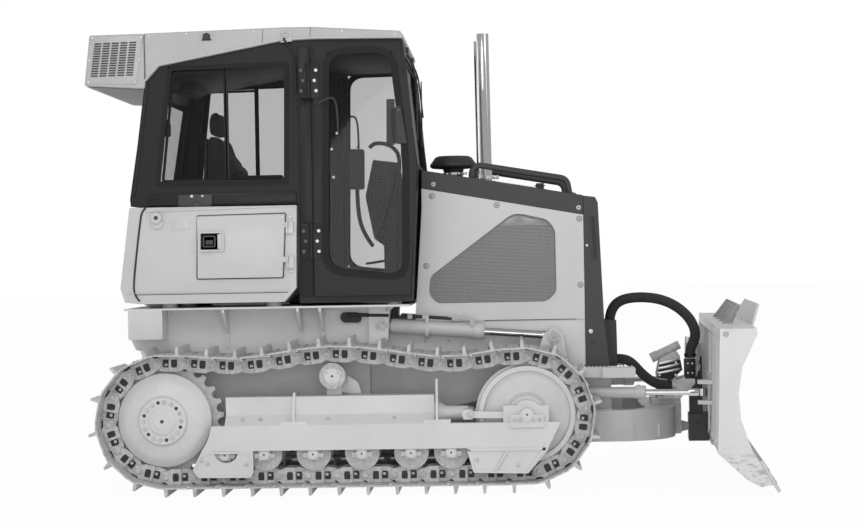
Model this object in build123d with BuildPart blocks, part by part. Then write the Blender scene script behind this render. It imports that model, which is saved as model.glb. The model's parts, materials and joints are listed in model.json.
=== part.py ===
"""Crawler dozer with an enclosed cab and a power-angle-tilt blade.

Millimetres. X runs forward from the sprocket's centre, Y to the machine's left, Z up from the ground. write() moves
each piece to the middle of the machine's length. Right-hand pieces are drawn and mirrored to the left.
"""

from build123d import *
import math
import os

os.makedirs("parts", exist_ok=True)

# ---------------------------------------------------------------- driving dimensions: undercarriage
link_pitch = 171.45
link_count = 38
sprocket_teeth = 25  # every second tooth space takes a pin
gauge = 1549.0
shoe_width = 406.0
shoe_thickness = 10.0
grouser_height = 47.0
plate_depth = 57.0  # from the pins out to the shoe's sole
rail_depth = 50.0  # from the pins in to the rail that the rollers run on
rail_inner = 38.0  # rail faces, each side of the chain's middle
rail_outer = 77.0
idler_pitch_radius = 350.0
idler_x = 2176.0
carrier_x = 1015.0
carrier_z = 700.0
carrier_radius = 79.0
carrier_lift = 4.0  # room for the rails' flats over the carrier roller
sag_rear = (480.0, 768.0)  # lowest pins of the two upper spans
sag_front = (1760.0, 760.0)
roller_x = (367.0, 604.0, 897.0, 1188.0, 1482.0, 1721.0)
roller_z = 239.0
run_gap = 0.3  # roller to rail, and every other seat

track_y = gauge / 2
pin_z = plate_depth + grouser_height
sprocket_pitch_radius = link_pitch / 2 / math.sin(2 * math.pi / sprocket_teeth)
sprocket_z = pin_z + sprocket_pitch_radius
idler_z = pin_z + idler_pitch_radius
rail_z = pin_z + rail_depth
track_inner_y = track_y - shoe_width / 2
track_outer_y = track_y + shoe_width / 2

# ---------------------------------------------------------------- driving dimensions: body
hull_half = 430.0
hull_bottom = 350.0
rear_half = 535.0
rear_end_x = -235.0
wide_end_x = 1217.0
nose_x = 2550.0
deck_z = 1118.0
deck_thickness = 12.0
deck_half = 740.0
deck_front_x = 1480.0
hood_half = 440.0
panel_thickness = 30.0
cab_half = 700.0
door_thickness = 40.0
roof_half = 725.0
rear_panel_half = 430.0
wall = 45.0
cab_floor = 1135.0  # undersides over the deck
fender_floor = 1146.0
drawbar_x = 265.0  # behind the sprocket
drawbar_z = 520.0
drawbar_hole = 17.5
glass_thickness = 6.0

# ---------------------------------------------------------------- driving dimensions: blade and linkage
blade_width = 2667.0
blade_half = blade_width / 2
blade_yaw = -3.4  # degrees, left end ahead
ball_x = 3275.0
ball_z = 290.0
ball_radius = 52.0
trunnion_x = 1335.0
trunnion_z = 345.0
arm_y = 500.0
arm_width = 96.0
lift_base = (1298.0, 985.0)
lift_eye = (2352.0, 905.0)
lift_pin = 24.0
angle_base_x = 2335.0
angle_base_y = 500.0
angle_eye_x = 3281.0
angle_eye_y = 600.0
angle_z = 552.0

# ---------------------------------------------------------------- driving dimensions: hoses to the blade's cylinders
hose_radius = 33.0  # sleeved bundle
hose_y = -145.0
hose_guard_half = 48.0
hose_guard_wall = 8.0
hose_shelf_z = 900.0
hose_block_top = 735.0
upper_hose_points = (
    (2712, hose_shelf_z), (2712, 962), (2721, 1026), (2750, 1080), (2802, 1111), (2872, 1122), (2955, 1121),
    (3042, 1106), (3124, 1070), (3194, 1014), (3239, 950), (3256, 886), (3242, 832), (3218, 790),
    (3218, hose_block_top),
)
lower_hose_points = ((2757, 735), (2808, 735), (2858, 702), (2910, 640), (2972, 588), (3036, 562), (3100, 562))

tower_top = 480.0
machine_middle = 1639.5  # from the sprocket to the middle of the length


def write(piece, name, place=Location()):
    """Moves a finished piece to the machine's middle and writes it."""
    moved = Location((-machine_middle, 0, 0)) * place * piece
    moved.label = name
    export_step(moved, f"parts/{name}.step")


def write_pair(piece, name):
    """Writes a right-hand piece and its mirror image."""
    write(piece, name + "_right")
    write(mirror(piece, about=Plane.XZ), name + "_left")


def side_plane(y):
    """Upright plane along the machine: sketch x is forward, sketch y is up, and it faces right."""
    return Plane(origin=(0, y, 0), x_dir=(1, 0, 0), z_dir=(0, -1, 0))


def cross_plane(x):
    """Upright plane across the machine: sketch x is left, sketch y is up, and it faces forward."""
    return Plane(origin=(x, 0, 0), x_dir=(0, 1, 0), z_dir=(1, 0, 0))


def plate(points, y_from, y_to, mode=Mode.ADD):
    """Flat piece with a side outline, from one distance across the machine to another."""
    with BuildSketch(side_plane(y_from)) as outline:
        with BuildLine():
            Polyline(*points, close=True)
        make_face()
    extrude(outline.sketch, amount=y_from - y_to, mode=mode)


def block(x_from, x_to, y_from, y_to, z_from, z_to, mode=Mode.ADD):
    """Rectangular piece between its faces."""
    with Locations(((x_from + x_to) / 2, (y_from + y_to) / 2, (z_from + z_to) / 2)):
        Box(abs(x_to - x_from), abs(y_to - y_from), abs(z_to - z_from), mode=mode)


def disc(x, z, y_from, y_to, radius, mode=Mode.ADD):
    """Round piece with its axis across the machine."""
    with BuildSketch(side_plane(y_from)) as circle:
        with Locations((x, z)):
            Circle(radius)
    extrude(circle.sketch, amount=y_from - y_to, mode=mode)


def turned(x, z, profile, mode=Mode.ADD):
    """Piece turned about an axis across the machine, from a profile of (radius, y)."""
    with BuildSketch(Plane(origin=(x, 0, z), x_dir=(0, 1, 0), z_dir=(1, 0, 0))) as section:
        with BuildLine():
            Polyline(*[(y, radius) for radius, y in profile], close=True)
        make_face()
    revolve(section.sketch, axis=Axis((x, 0, z), (0, 1, 0)), mode=mode)


# ================================================================ undercarriage
def pin_places():
    """The (x, z) of every track pin, evenly spaced round the loop from the sprocket's lowest point."""
    with BuildLine() as loop:
        ThreePointArc((0, pin_z), (-sprocket_pitch_radius, sprocket_z), (0, sprocket_z + sprocket_pitch_radius))
        Spline(
            (0, sprocket_z + sprocket_pitch_radius),
            sag_rear,
            (carrier_x, carrier_z + carrier_radius + carrier_lift + rail_depth),
            sag_front,
            (idler_x, idler_z + idler_pitch_radius),
            tangents=((1, 0), (1, 0)),
        )
        ThreePointArc(
            (idler_x, idler_z + idler_pitch_radius), (idler_x + idler_pitch_radius, idler_z), (idler_x, pin_z)
        )
        Line((idler_x, pin_z), (0, pin_z))
    edges = [loop.edges()[i] for i in range(4)]
    total = sum(edge.length for edge in edges)
    places = []
    for i in range(link_count):
        along = i * total / link_count
        for edge in edges:
            if along <= edge.length:
                break
            along -= edge.length
        places.append(edge.position_at(along, position_mode=PositionMode.LENGTH))
    return [(place.X, place.Y) for place in places]


def loop_offset(pins, depth):
    """One point at each pin, set out from the chain's pitch line (or in, where depth is negative)."""
    points = []
    for i, (x, z) in enumerate(pins):
        before, after = pins[i - 1], pins[(i + 1) % len(pins)]
        direction = Vector(after[0] - before[0], after[1] - before[1]).normalized()
        half_turn = math.radians(
            Vector(x - before[0], z - before[1]).get_angle(Vector(after[0] - x, after[1] - z))
        ) / 2
        reach = depth / math.cos(half_turn)
        points.append((x - direction.Y * reach, z + direction.X * reach))
    return points


# shoe outline in its link's frame: distance from the rear pin, height over the pitch line
shoe_outline = (
    (7.0, plate_depth),
    (139.0, plate_depth),
    (144.0, pin_z),
    (154.0, pin_z),
    (161.0, plate_depth),
    (170.0, plate_depth - 3),
)

pins = pin_places()
sole = []
for i, (x, z) in enumerate(pins):
    after = pins[(i + 1) % link_count]
    along = Vector(after[0] - x, after[1] - z).normalized()
    for u, v in shoe_outline:
        sole.append((x + along.X * u - along.Y * v, z + along.Y * u + along.X * v))

with BuildPart() as track:
    with BuildSketch(side_plane(-track_inner_y)):
        with BuildLine():
            Polyline(*sole, close=True)
        make_face()
        with BuildLine():
            Polyline(*loop_offset(pins, plate_depth - shoe_thickness), close=True)
        make_face(mode=Mode.SUBTRACT)
    extrude(amount=shoe_width)
    for rail_y in (track_y - rail_outer, track_y + rail_inner):
        with BuildSketch(side_plane(-rail_y)):
            with BuildLine():
                Polyline(*loop_offset(pins, plate_depth - shoe_thickness + 1), close=True)
            make_face()
            with BuildLine():
                Polyline(*loop_offset(pins, -rail_depth), close=True)
            make_face(mode=Mode.SUBTRACT)
        extrude(amount=rail_outer - rail_inner)
write_pair(track.part, "track")

# ---------------------------------------------------------------- final drives and sprockets
sprocket_half = 26.0
drive_disc_radius = 283.0
drive_face_y = 930.0
with BuildPart() as final_drives:
    turned(
        0,
        sprocket_z,
        (
            (0, -(rear_half + run_gap)),
            (185, -(rear_half + run_gap)),
            (185, -(track_y - sprocket_half - 22)),
            (225, -(track_y - sprocket_half - 22)),
            (225, -(track_y - sprocket_half)),
            (205, -(track_y - sprocket_half)),
            (205, -(track_y + sprocket_half)),
            (drive_disc_radius, -(track_y + sprocket_half + 22)),
            (drive_disc_radius, -(track_y + sprocket_half + 46)),
            (228, -(drive_face_y - 44)),
            (150, -(drive_face_y - 26)),
            (140, -drive_face_y),
            (86, -drive_face_y),
            (76, -(drive_face_y + 12)),
            (0, -(drive_face_y + 12)),
        ),
    )
    mirror(about=Plane.XZ)
write(final_drives.part, "final_drives")

tooth_root = 33.0
tooth_step = 360 / sprocket_teeth
tip_radius = sprocket_pitch_radius + 8
root_turn = math.degrees(math.atan2(pins[3][1] - sprocket_z, pins[3][0]))
rim = []
for i in range(sprocket_teeth):
    # each tooth space: entry, three points of its round root, and exit
    for turn, radius in (
        (-5.0, tip_radius),
        (-4.6, sprocket_pitch_radius - 8),
        (-2.9, sprocket_pitch_radius - 27),
        (0.0, sprocket_pitch_radius - tooth_root),
        (2.9, sprocket_pitch_radius - 27),
        (4.6, sprocket_pitch_radius - 8),
        (5.0, tip_radius),
    ):
        angle = math.radians(root_turn + i * tooth_step + turn)
        rim.append((radius * math.cos(angle), sprocket_z + radius * math.sin(angle)))
with BuildPart() as sprockets:
    plate(rim, -(track_y - sprocket_half + run_gap), -(track_y + sprocket_half - run_gap))
    disc(0, sprocket_z, -(track_y - 60), -(track_y + 60), 205 + run_gap, mode=Mode.SUBTRACT)
    mirror(about=Plane.XZ)
write(sprockets.part, "sprockets")

# ---------------------------------------------------------------- idlers
idler_half_turn = math.asin(link_pitch / 2 / idler_pitch_radius)
idler_tread = idler_pitch_radius * math.cos(idler_half_turn) - rail_depth - run_gap
idler_half = 92.0
idler_axle = 42.0
with BuildPart() as idlers:
    turned(
        idler_x,
        idler_z,
        (
            (idler_axle + run_gap, -(track_y - idler_half)),
            (110, -(track_y - idler_half)),
            (130, -(track_y - 40)),
            (idler_tread - 34, -(track_y - 40)),
            (idler_tread - 30, -(track_y - rail_outer)),
            (idler_tread, -(track_y - rail_outer)),
            (idler_tread, -(track_y - rail_inner + 4)),
            (idler_tread + 18, -(track_y - rail_inner + 8)),
            (idler_tread + 18, -(track_y + rail_inner - 8)),
            (idler_tread, -(track_y + rail_inner - 4)),
            (idler_tread, -(track_y + rail_outer)),
            (idler_tread - 30, -(track_y + rail_outer)),
            (idler_tread - 34, -(track_y + 40)),
            (130, -(track_y + 40)),
            (110, -(track_y + idler_half)),
            (idler_axle + run_gap, -(track_y + idler_half)),
        ),
    )
    mirror(about=Plane.XZ)
write(idlers.part, "idlers")

# ---------------------------------------------------------------- track frames
frame_half = 155.0
frame_cheek = 50.0  # thickness of the side beams
frame_box_half = 85.0
frame_low = 265.0
frame_shoulder = 414.0
frame_neck = 472.0
frame_top = 580.0
frame_open = frame_half - frame_cheek
roller_roof = 345.0
side_beam = ((200, frame_low), (200, frame_shoulder), (2374, frame_shoulder), (2300, frame_low))
box_back = 372.0
box_front = 1625.0
guard_thickness = 15.0
roller_shaft = 25.5
shaft_reach = frame_half - guard_thickness - 2  # inside the roller guards
# roller guards under the outer beam: outlines of the rear and the front one
roller_guards = (
    ((232, 266), (178, 157), (208, 109), (525, 106), (541, 139), (541, 266), (453, 266), (438, 222), (412, 202),
     (379, 195), (346, 202), (320, 222), (305, 266)),
    ((1814, 266), (1853, 119), (2177, 111), (2292, 242), (2300, 266)),
)
# bearing block and clamp outlines from the idler's centre
bearing_outline = (
    (-142, frame_shoulder - 1), (-142, idler_z + 58), (-61, idler_z + 60), (-40, idler_z + 82), (-4, idler_z + 91),
    (44, idler_z + 82), (72, idler_z + 58), (129, idler_z + 57), (127, frame_shoulder - 1),
)
clamp_outline = (
    (-100, 384), (-98, 460), (-50, 460), (-34, 484), (-4, 494), (26, 484), (40, 460), (98, 458), (98, 384),
)
clamp_thickness = 14.0
nose_z = 462.0
nose_radius = 44.0
crosshead_x = 1824.0
arm_inner = 98.0
arm_outer = 124.0
fins = ((785.0, 604.0), (1640.0, 676.0))
with BuildPart() as track_frame:
    for inner, outer in ((frame_open, frame_half), (-frame_half, -frame_open)):
        plate(side_beam, -(track_y + inner), -(track_y + outer))
    with BuildSketch(cross_plane(box_back)):
        with BuildLine():
            Polyline(
                (-track_y - frame_open, roller_roof),
                (-track_y - frame_half, frame_shoulder),
                (-track_y - frame_box_half, frame_neck),
                (-track_y - frame_box_half, frame_top),
                (-track_y + frame_box_half, frame_top),
                (-track_y + frame_box_half, frame_neck),
                (-track_y + frame_half, frame_shoulder),
                (-track_y + frame_open, roller_roof),
                close=True,
            )
        make_face()
    extrude(amount=box_front - box_back)
    disc(0, sprocket_z, -(track_y - 200), -(track_y + 200), drive_disc_radius + 10, mode=Mode.SUBTRACT)
    # idler bearing blocks on the beams, with their clamps and the axle through both
    for inner, outer in ((frame_open - 10, frame_half - 12), (-frame_half + 12, -frame_open + 10)):
        plate(
            [(idler_x + x, z) for x, z in bearing_outline],
            -(track_y + inner),
            -(track_y + outer),
        )
    for inner, outer in ((frame_half, frame_half + clamp_thickness), (-frame_half, -frame_half - clamp_thickness)):
        plate([(idler_x + x, z) for x, z in clamp_outline], -(track_y + inner), -(track_y + outer))
    # recoil spring's nose, its crosshead and the two arms to the bearing blocks
    with BuildSketch(cross_plane(box_front - 1)):
        with Locations((-track_y, nose_z)):
            Circle(84)
    with BuildSketch(cross_plane(box_front + 70)):
        with Locations((-track_y, nose_z)):
            Circle(nose_radius)
    loft()
    with BuildSketch(cross_plane(box_front + 69)):
        with Locations((-track_y, nose_z)):
            Circle(nose_radius)
    extrude(amount=crosshead_x - box_front - 69)
    block(crosshead_x - 28, crosshead_x + 28, -(track_y - arm_outer), -(track_y + arm_outer), nose_z - 30, nose_z + 28)
    for side in (-1, 1):
        plate(
            (
                (crosshead_x - 36, nose_z - 6), (crosshead_x - 20, nose_z - 28), (crosshead_x + 44, nose_z - 22),
                (idler_x - 140, nose_z - 26), (idler_x - 140, nose_z + 14), (crosshead_x + 44, nose_z + 18),
                (crosshead_x - 8, nose_z + 28), (crosshead_x - 34, nose_z + 14),
            ),
            -(track_y + side * arm_inner),
            -(track_y + side * arm_outer),
        )
    # fins across the box, each on its foot
    for x, top in fins:
        with BuildSketch(cross_plane(x - 7)):
            with BuildLine():
                Polyline(
                    (-track_y - frame_half + 6, frame_shoulder + 2),
                    (-track_y - frame_half + 6, frame_shoulder + 44),
                    (-track_y - frame_box_half, top),
                    (-track_y + frame_box_half, top),
                    (-track_y + frame_box_half, frame_shoulder + 2),
                    close=True,
                )
            make_face()
        extrude(amount=14)
        block(x - 82, x + 82, -(track_y + frame_box_half), -(track_y + frame_half - 4), frame_shoulder - 2,
              frame_shoulder + 22)
    disc(idler_x, idler_z, -(track_y - frame_open), -(track_y + frame_open), idler_axle)
    for guard in roller_guards:
        plate(guard, -(track_y + frame_half - guard_thickness), -(track_y + frame_half))
    # carrier roller's bracket beside the box
    block(
        carrier_x - 45,
        carrier_x + 45,
        -(track_y - 80),
        -(track_y - 30),
        frame_top - 1,
        carrier_z + 40,
    )
    disc(carrier_x, carrier_z, -(track_y - 40), -(track_y + 60), roller_shaft)
    # cross bar to the hull, ahead of the drive
    block(1080, 1210, -(track_y - frame_box_half + 1), -(rear_half + run_gap), 420, 560)
write_pair(track_frame.part, "track_frame")

# ---------------------------------------------------------------- rollers
roller_tread = roller_z - rail_z - run_gap
roller_flange = roller_tread + 18
with BuildPart() as rollers:
    for x in roller_x:
        turned(
            x,
            roller_z,
            (
                (0, -(track_y - shaft_reach)),
                (roller_shaft, -(track_y - shaft_reach)),
                (roller_shaft, -(track_y - frame_open + 3)),
                (60, -(track_y - frame_open + 3)),
                (roller_flange, -(track_y - rail_outer - 16)),
                (roller_flange, -(track_y - rail_outer - 2)),
                (roller_tread, -(track_y - rail_outer - 1)),
                (roller_tread, -(track_y - rail_inner + 4)),
                (50, -(track_y - rail_inner + 10)),
                (50, -(track_y + rail_inner - 10)),
                (roller_tread, -(track_y + rail_inner - 4)),
                (roller_tread, -(track_y + rail_outer + 1)),
                (roller_flange, -(track_y + rail_outer + 2)),
                (roller_flange, -(track_y + rail_outer + 16)),
                (60, -(track_y + frame_open - 3)),
                (roller_shaft, -(track_y + frame_open - 3)),
                (roller_shaft, -(track_y + shaft_reach)),
                (0, -(track_y + shaft_reach)),
            ),
        )
        # shaft blocks that hang under the side beams
        for inner, outer in ((frame_open + 4, shaft_reach - 2), (-shaft_reach + 2, -frame_open - 4)):
            block(
                x - 34,
                x + 34,
                -(track_y + inner),
                -(track_y + outer),
                roller_z - 34,
                frame_low - run_gap,
            )
    turned(
        carrier_x,
        carrier_z,
        (
            (roller_shaft + run_gap, -(track_y - 28)),
            (carrier_radius, -(track_y - 28)),
            (carrier_radius, -(track_y + rail_outer)),
            (60, -(track_y + rail_outer + 8)),
            (roller_shaft + run_gap, -(track_y + rail_outer + 8)),
        ),
    )
write_pair(rollers.part, "rollers")

# ================================================================ hull
gusset_x = (345.0, 799.0, 935.0)
bracket_outline = ((1217, 862), (1225, deck_z - 2), (1392, deck_z - 2), (1345, 1075), (1335, 905), (1310, 862))
with BuildPart() as main_frame:
    # wide rear case under the cab
    plate(
        ((-232, 858), (-262, 922), (-262, deck_z - 2), (wide_end_x, deck_z - 2), (wide_end_x, 520),
         (1080, hull_bottom), (60, hull_bottom), (-147, 480), (-147, 836)),
        -rear_half,
        rear_half,
    )
    # engine frame
    plate(
        ((1100, hull_bottom + 60), (1100, 1000), (nose_x - 2, 1000), (nose_x - 2, 720), (2350, 600), (1700, 470),
         (1400, hull_bottom + 60)),
        -hull_half,
        hull_half,
    )
    block(-262, deck_front_x, -deck_half, deck_half, deck_z - deck_thickness, deck_z)
    # rear boxes over the sprockets and tapered gussets under the deck
    for side in (-1, 1):
        block(rear_end_x, -26, side * rear_half, side * deck_half, 930, deck_z - 2)
        for x in gusset_x:
            with BuildSketch(cross_plane(x - 8)):
                with BuildLine():
                    Polyline(
                        (side * (rear_half - 2), 866),
                        (side * (rear_half + 12), 866),
                        (side * (rear_half + 18), 950),
                        (side * (deck_half - 4), 1085),
                        (side * (deck_half - 4), deck_z - 2),
                        (side * (rear_half - 2), deck_z - 2),
                        close=True,
                    )
                make_face()
            extrude(amount=16)
        # lift cylinder brackets: outer cheek, and the inner one on the engine frame
        for inner, outer in ((hull_half - 2, hull_half + 22), (arm_y + 38, arm_y + 56)):
            plate(bracket_outline, side * inner, side * outer)
        block(1217, 1235, side * (hull_half - 2), side * (arm_y + 56), 862, deck_z - 2)
        disc(lift_base[0], lift_base[1], side * (hull_half + 10), side * (arm_y + 62), lift_pin)
        # trunnion that carries the push arm
        disc(trunnion_x, trunnion_z, side * (hull_half - 60), side * (arm_y + arm_width / 2 - 8), 45)
    plate(
        ((trunnion_x - 110, hull_bottom + 90), (trunnion_x - 80, trunnion_z - 60), (trunnion_x + 80, trunnion_z - 60),
         (trunnion_x + 120, hull_bottom + 100)),
        -hull_half,
        hull_half,
    )
    # rubber mounts under the cab and the fenders
    for x, y, top in ((60, 330, cab_floor), (1380, 600, cab_floor), (0, 600, fender_floor), (640, 600, fender_floor)):
        for side in (-1, 1):
            with Locations((x, side * y, (deck_z - 1 + top - run_gap) / 2)):
                Cylinder(48, top - run_gap - deck_z + 1)
    # drawbar with its pin hole
    block(-drawbar_x, -100, -50, 50, drawbar_z - 20, drawbar_z + 20)
    with Locations((-drawbar_x, 0, drawbar_z)):
        Cylinder(50, 40)
        Cylinder(drawbar_hole, 40, mode=Mode.SUBTRACT)
    for side in (-1, 1):
        plate(((-150, drawbar_z + 15), (-215, drawbar_z + 15), (-150, 640)), side * 36, side * 50)
write(main_frame.part, "main_frame")

engine_half = 230.0
engine_seat = 1000.0 + run_gap
with BuildPart() as engine_block:
    block(1600, 2380, -engine_half, engine_half, engine_seat, 1590)
write(engine_block.part, "engine_block")

# ================================================================ hood, side panels, grilles and radiator guard
hood_top = ((1550, 1941), (2548, 1767))
panel_top = ((1549, 1827), (2548, 1647))
panel_bottom = ((2548, 1000.3), (1497, 1000.3))
hood_skin = 8.0
with BuildPart() as hood:
    plate([(x, z + run_gap) for x, z in panel_top] + [hood_top[1], hood_top[0]], -hood_half, hood_half)
    plate(
        (
            (1540, 1800),
            (1540, hood_top[0][1] - hood_skin),
            (2560, hood_top[1][1] - hood_skin - 3),
            (2560, 1620),
        ),
        -(hood_half - hood_skin),
        hood_half - hood_skin,
        mode=Mode.SUBTRACT,
    )
write(hood.part, "hood")

grille_outline = (
    (1591, 1287), (1580, 1174), (1631, 1108), (2317, 1109), (2379, 1169), (2377, 1559), (2326, 1625), (2162, 1663),
    (2102, 1660),
)
with BuildPart() as side_panels:
    plate(
        (panel_bottom[1], (1549, 1700), panel_top[0], panel_top[1], panel_bottom[0]),
        -(hood_half - panel_thickness),
        -hood_half,
    )
    with BuildSketch(side_plane(-(hood_half - panel_thickness - 1))) as opening:
        with BuildLine():
            Polyline(*grille_outline, close=True)
        make_face()
    extrude(opening.sketch, amount=panel_thickness + 2, mode=Mode.SUBTRACT)
    mirror(about=Plane.XZ)
write(side_panels.part, "side_panels")

with BuildPart() as side_grilles:
    with BuildSketch(side_plane(-(hood_half - 18))) as screen:
        with BuildLine():
            Polyline(*grille_outline, close=True)
        make_face()
        offset(amount=-run_gap)
    extrude(screen.sketch, amount=6)
    mirror(about=Plane.XZ)
write(side_grilles.part, "side_grilles")

hose_guard_x = 2756.7
guard_outline = (
    (2548.3, 720), (2548.3, 1764), (2622, 1754), (2639, 1719), (2665, 1008), (2699, 703), (2595, 703),
)
with BuildPart() as radiator_guard:
    plate(guard_outline, -hood_half, hood_half)
    block(2500, 2800, -(hood_half - 70), hood_half - 70, 800, 1660, mode=Mode.SUBTRACT)
    # channel that the hoses leave from, with the shelf and the face that their ends sit on
    plate(
        ((2640, 989), (hose_guard_x - 2, 981), (hose_guard_x, 814), (hose_guard_x, 690), (2690, 690), (2640, 760)),
        hose_y + hose_guard_half,
        hose_y - hose_guard_half,
    )
    block(
        upper_hose_points[0][0] - hose_radius - 3,
        upper_hose_points[0][0] + hose_radius + 4.5,
        hose_y - hose_guard_half + hose_guard_wall,
        hose_y + hose_guard_half - hose_guard_wall,
        hose_shelf_z - run_gap,
        1000,
        mode=Mode.SUBTRACT,
    )
write(radiator_guard.part, "radiator_guard")

with BuildPart() as front_grille:
    block(2585, 2600, -(hood_half - 70 - run_gap), hood_half - 70 - run_gap, 800 + run_gap, 1660 - run_gap)
write(front_grille.part, "front_grille")

# ================================================================ cab
sill_z = 1165.0
roof_line = ((-104, 2498), (-21, 2590), (727, 2726), (906, 2733), (1463, 2726))
cab_outline = (
    (-217, 1784), *roof_line, (1542, 1960), (1492, cab_floor), (-150, cab_floor),
)
cab_inner = (
    (-165, 1784), (-60, 2480), (10, 2560), (740, 2680), (1405, 2680), (1487, 1960), (1445, sill_z), (-100, sill_z),
)
side_window = ((-56, 1862), (31, 2587), (765, 2600), (751, 1864))
door_outline = ((905, 1176), (925, 2704), (1452, 2704), (1485, 2579), (1540, 1932), (1487, 1176))
door_window = ((981, 1342), (1005, 2648), (1399, 2656), (1468, 2026), (1455, 1287))
service_outline = ((201, 1297), (201, 1670), (736, 1677), (715, 1297))
fender_outline = ((-278, 1243), (-214, 1732), (806, 1730), (796, 1229), (723, fender_floor), (-154, fender_floor), (-252, 1158))


def window(points, inner, outer, clearance=0.0):
    """A pane or an opening with a window's outline, drawn in by a clearance."""
    with BuildSketch(side_plane(-inner)) as pane:
        with BuildLine():
            Polyline(*points, close=True)
        make_face()
        if clearance:
            offset(amount=-clearance)
    return extrude(pane.sketch, amount=outer - inner, mode=Mode.PRIVATE)


door_opening_inset = 42.0
hinge_x = 893.0
hinge_y = cab_half + 52
hinge_radius = 12.0
hinge_pin = 6.0
pin_fit = 0.05
cab_hinges = ((1403, 1617), (2374, 2587))  # lowest and highest point of each

with BuildPart() as cab_frame:
    plate(cab_outline, -cab_half, cab_half)
    plate(cab_inner, -(cab_half - wall), cab_half - wall, mode=Mode.SUBTRACT)
    rear_opening = window(side_window, cab_half - wall - 60, cab_half + 60)
    door_opening = window(door_outline, cab_half - wall - 60, cab_half + 60, door_opening_inset)
    for opening in (rear_opening, door_opening):
        add(opening, mode=Mode.SUBTRACT)
        add(mirror(opening, about=Plane.XZ), mode=Mode.SUBTRACT)
    # windscreen and rear window
    block(1300, 1700, -(cab_half - 70), cab_half - 70, 1960, 2640, mode=Mode.SUBTRACT)
    block(-400, 60, -(cab_half - 90), cab_half - 90, 1850, 2440, mode=Mode.SUBTRACT)
    # room for the fenders beside the seat and the tank behind it
    for side in (-1, 1):
        block(-400, 812, side * (cab_half + 10), side * rear_panel_half, sill_z - 60, 1740, mode=Mode.SUBTRACT)
        for low, high in cab_hinges:
            block(hinge_x - 62, hinge_x - hinge_radius - 1, side * cab_half, side * (hinge_y - 4), low, high)
            for z_from, z_to, radius in ((low, (low + high) / 2 - 1, hinge_radius), (low, high, hinge_pin)):
                with Locations((hinge_x, side * hinge_y, (z_from + z_to) / 2)):
                    Cylinder(radius, z_to - z_from)
            block(hinge_x - 16, hinge_x - 5, side * (hinge_y - 10), side * (hinge_y + 4), low, (low + high) / 2 - 1)
    block(-400, -60, -cab_half - 10, cab_half + 10, sill_z - 60, 1740, mode=Mode.SUBTRACT)
write(cab_frame.part, "cab_frame")

door_inner = cab_half + 3
door_outer = door_inner + door_thickness - 3
with BuildPart() as cab_door:
    add(window(door_outline, door_inner, door_outer))
    add(window(door_window, door_inner - 1, door_outer + 1), mode=Mode.SUBTRACT)
    for low, high in cab_hinges:
        block(hinge_x + 12, hinge_x + 66, -door_outer, -(hinge_y - 4), low, high)
        middle = (low + high) / 2 + 1
        block(hinge_x, hinge_x + 14, -(hinge_y - 10), -(hinge_y + 4), middle, high)
        with Locations((hinge_x, -hinge_y, (middle + high) / 2)):
            Cylinder(hinge_radius, high - middle)
        with Locations((hinge_x, -hinge_y, (low + high) / 2)):
            Cylinder(hinge_pin + pin_fit, high - low + 2, mode=Mode.SUBTRACT)
    plate(((1398, 2100), (1392, 2300), (1430, 2304), (1462, 2100)), -door_outer, -(door_outer + 24))
write_pair(cab_door.part, "cab_door")

with BuildPart() as door_glass:
    add(window(door_window, door_inner + 14, door_inner + 14 + glass_thickness, run_gap))
write_pair(door_glass.part, "door_glass")

with BuildPart() as cab_glass:
    pane = window(side_window, cab_half - 26, cab_half - 26 + glass_thickness, run_gap)
    add(pane)
    add(mirror(pane, about=Plane.XZ))
    plate(((1448, 2639.7), (1454, 2639.7), (1519, 1960.3), (1513, 1960.3)), -(cab_half - 70.3), cab_half - 70.3)
    plate(((-186, 1850.3), (-180, 1850.3), (-90, 2439.7), (-96, 2439.7)), -(cab_half - 90.3), cab_half - 90.3)
write(cab_glass.part, "cab_glass")

roof_top = ((1452, 2773), (925, 2808), (754, 2810), (343, 2803), (-112, 2792))
housing_outline = ((-111, 2456), (-479, 2481), (-443, 2787), (-112.3, 2791), (-104.4, 2498))
with BuildPart() as roof:
    plate([(x, z + run_gap) for x, z in roof_line] + [(1474, 2740)] + list(roof_top), -roof_half, roof_half)
write(roof.part, "roof")

with BuildPart() as roof_housing:
    plate(housing_outline, -roof_half, roof_half)
write(roof_housing.part, "roof_housing")

# ---------------------------------------------------------------- fenders, rear panel and service doors
pocket = ((236, 1330), (236, 1640), (690, 1640), (690, 1330))
service_inner = deck_half + 1
service_outer = service_inner + 18
service_hinge_x = 746.0
service_hinge_y = deck_half + 16
service_hinges = ((1350, 1420), (1560, 1630))
with BuildPart() as fenders:
    plate(fender_outline, -(rear_panel_half + run_gap), -deck_half)
    plate(pocket, -(deck_half - 140), -(deck_half + 10), mode=Mode.SUBTRACT)
    for low, high in service_hinges:
        block(service_hinge_x + 10, service_hinge_x + 40, -deck_half, -(service_hinge_y + 3), low, high)
        block(service_hinge_x, service_hinge_x + 11, -(service_hinge_y - 3), -(service_hinge_y + 3), low,
              (low + high) / 2 - 1)
        for z_from, z_to, radius in ((low, (low + high) / 2 - 1, 8), (low, high, 4)):
            with Locations((service_hinge_x, -service_hinge_y, (z_from + z_to) / 2)):
                Cylinder(radius, z_to - z_from)
    mirror(about=Plane.XZ)
write(fenders.part, "fenders")

with BuildPart() as rear_panel:
    plate(
        ((-154, deck_z + run_gap), (-252, 1158), (-278, 1243), (-214, 1732), (-60.3, 1732), (-60.3, deck_z + run_gap)),
        -rear_panel_half,
        rear_panel_half,
    )
write(rear_panel.part, "rear_panel")

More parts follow.
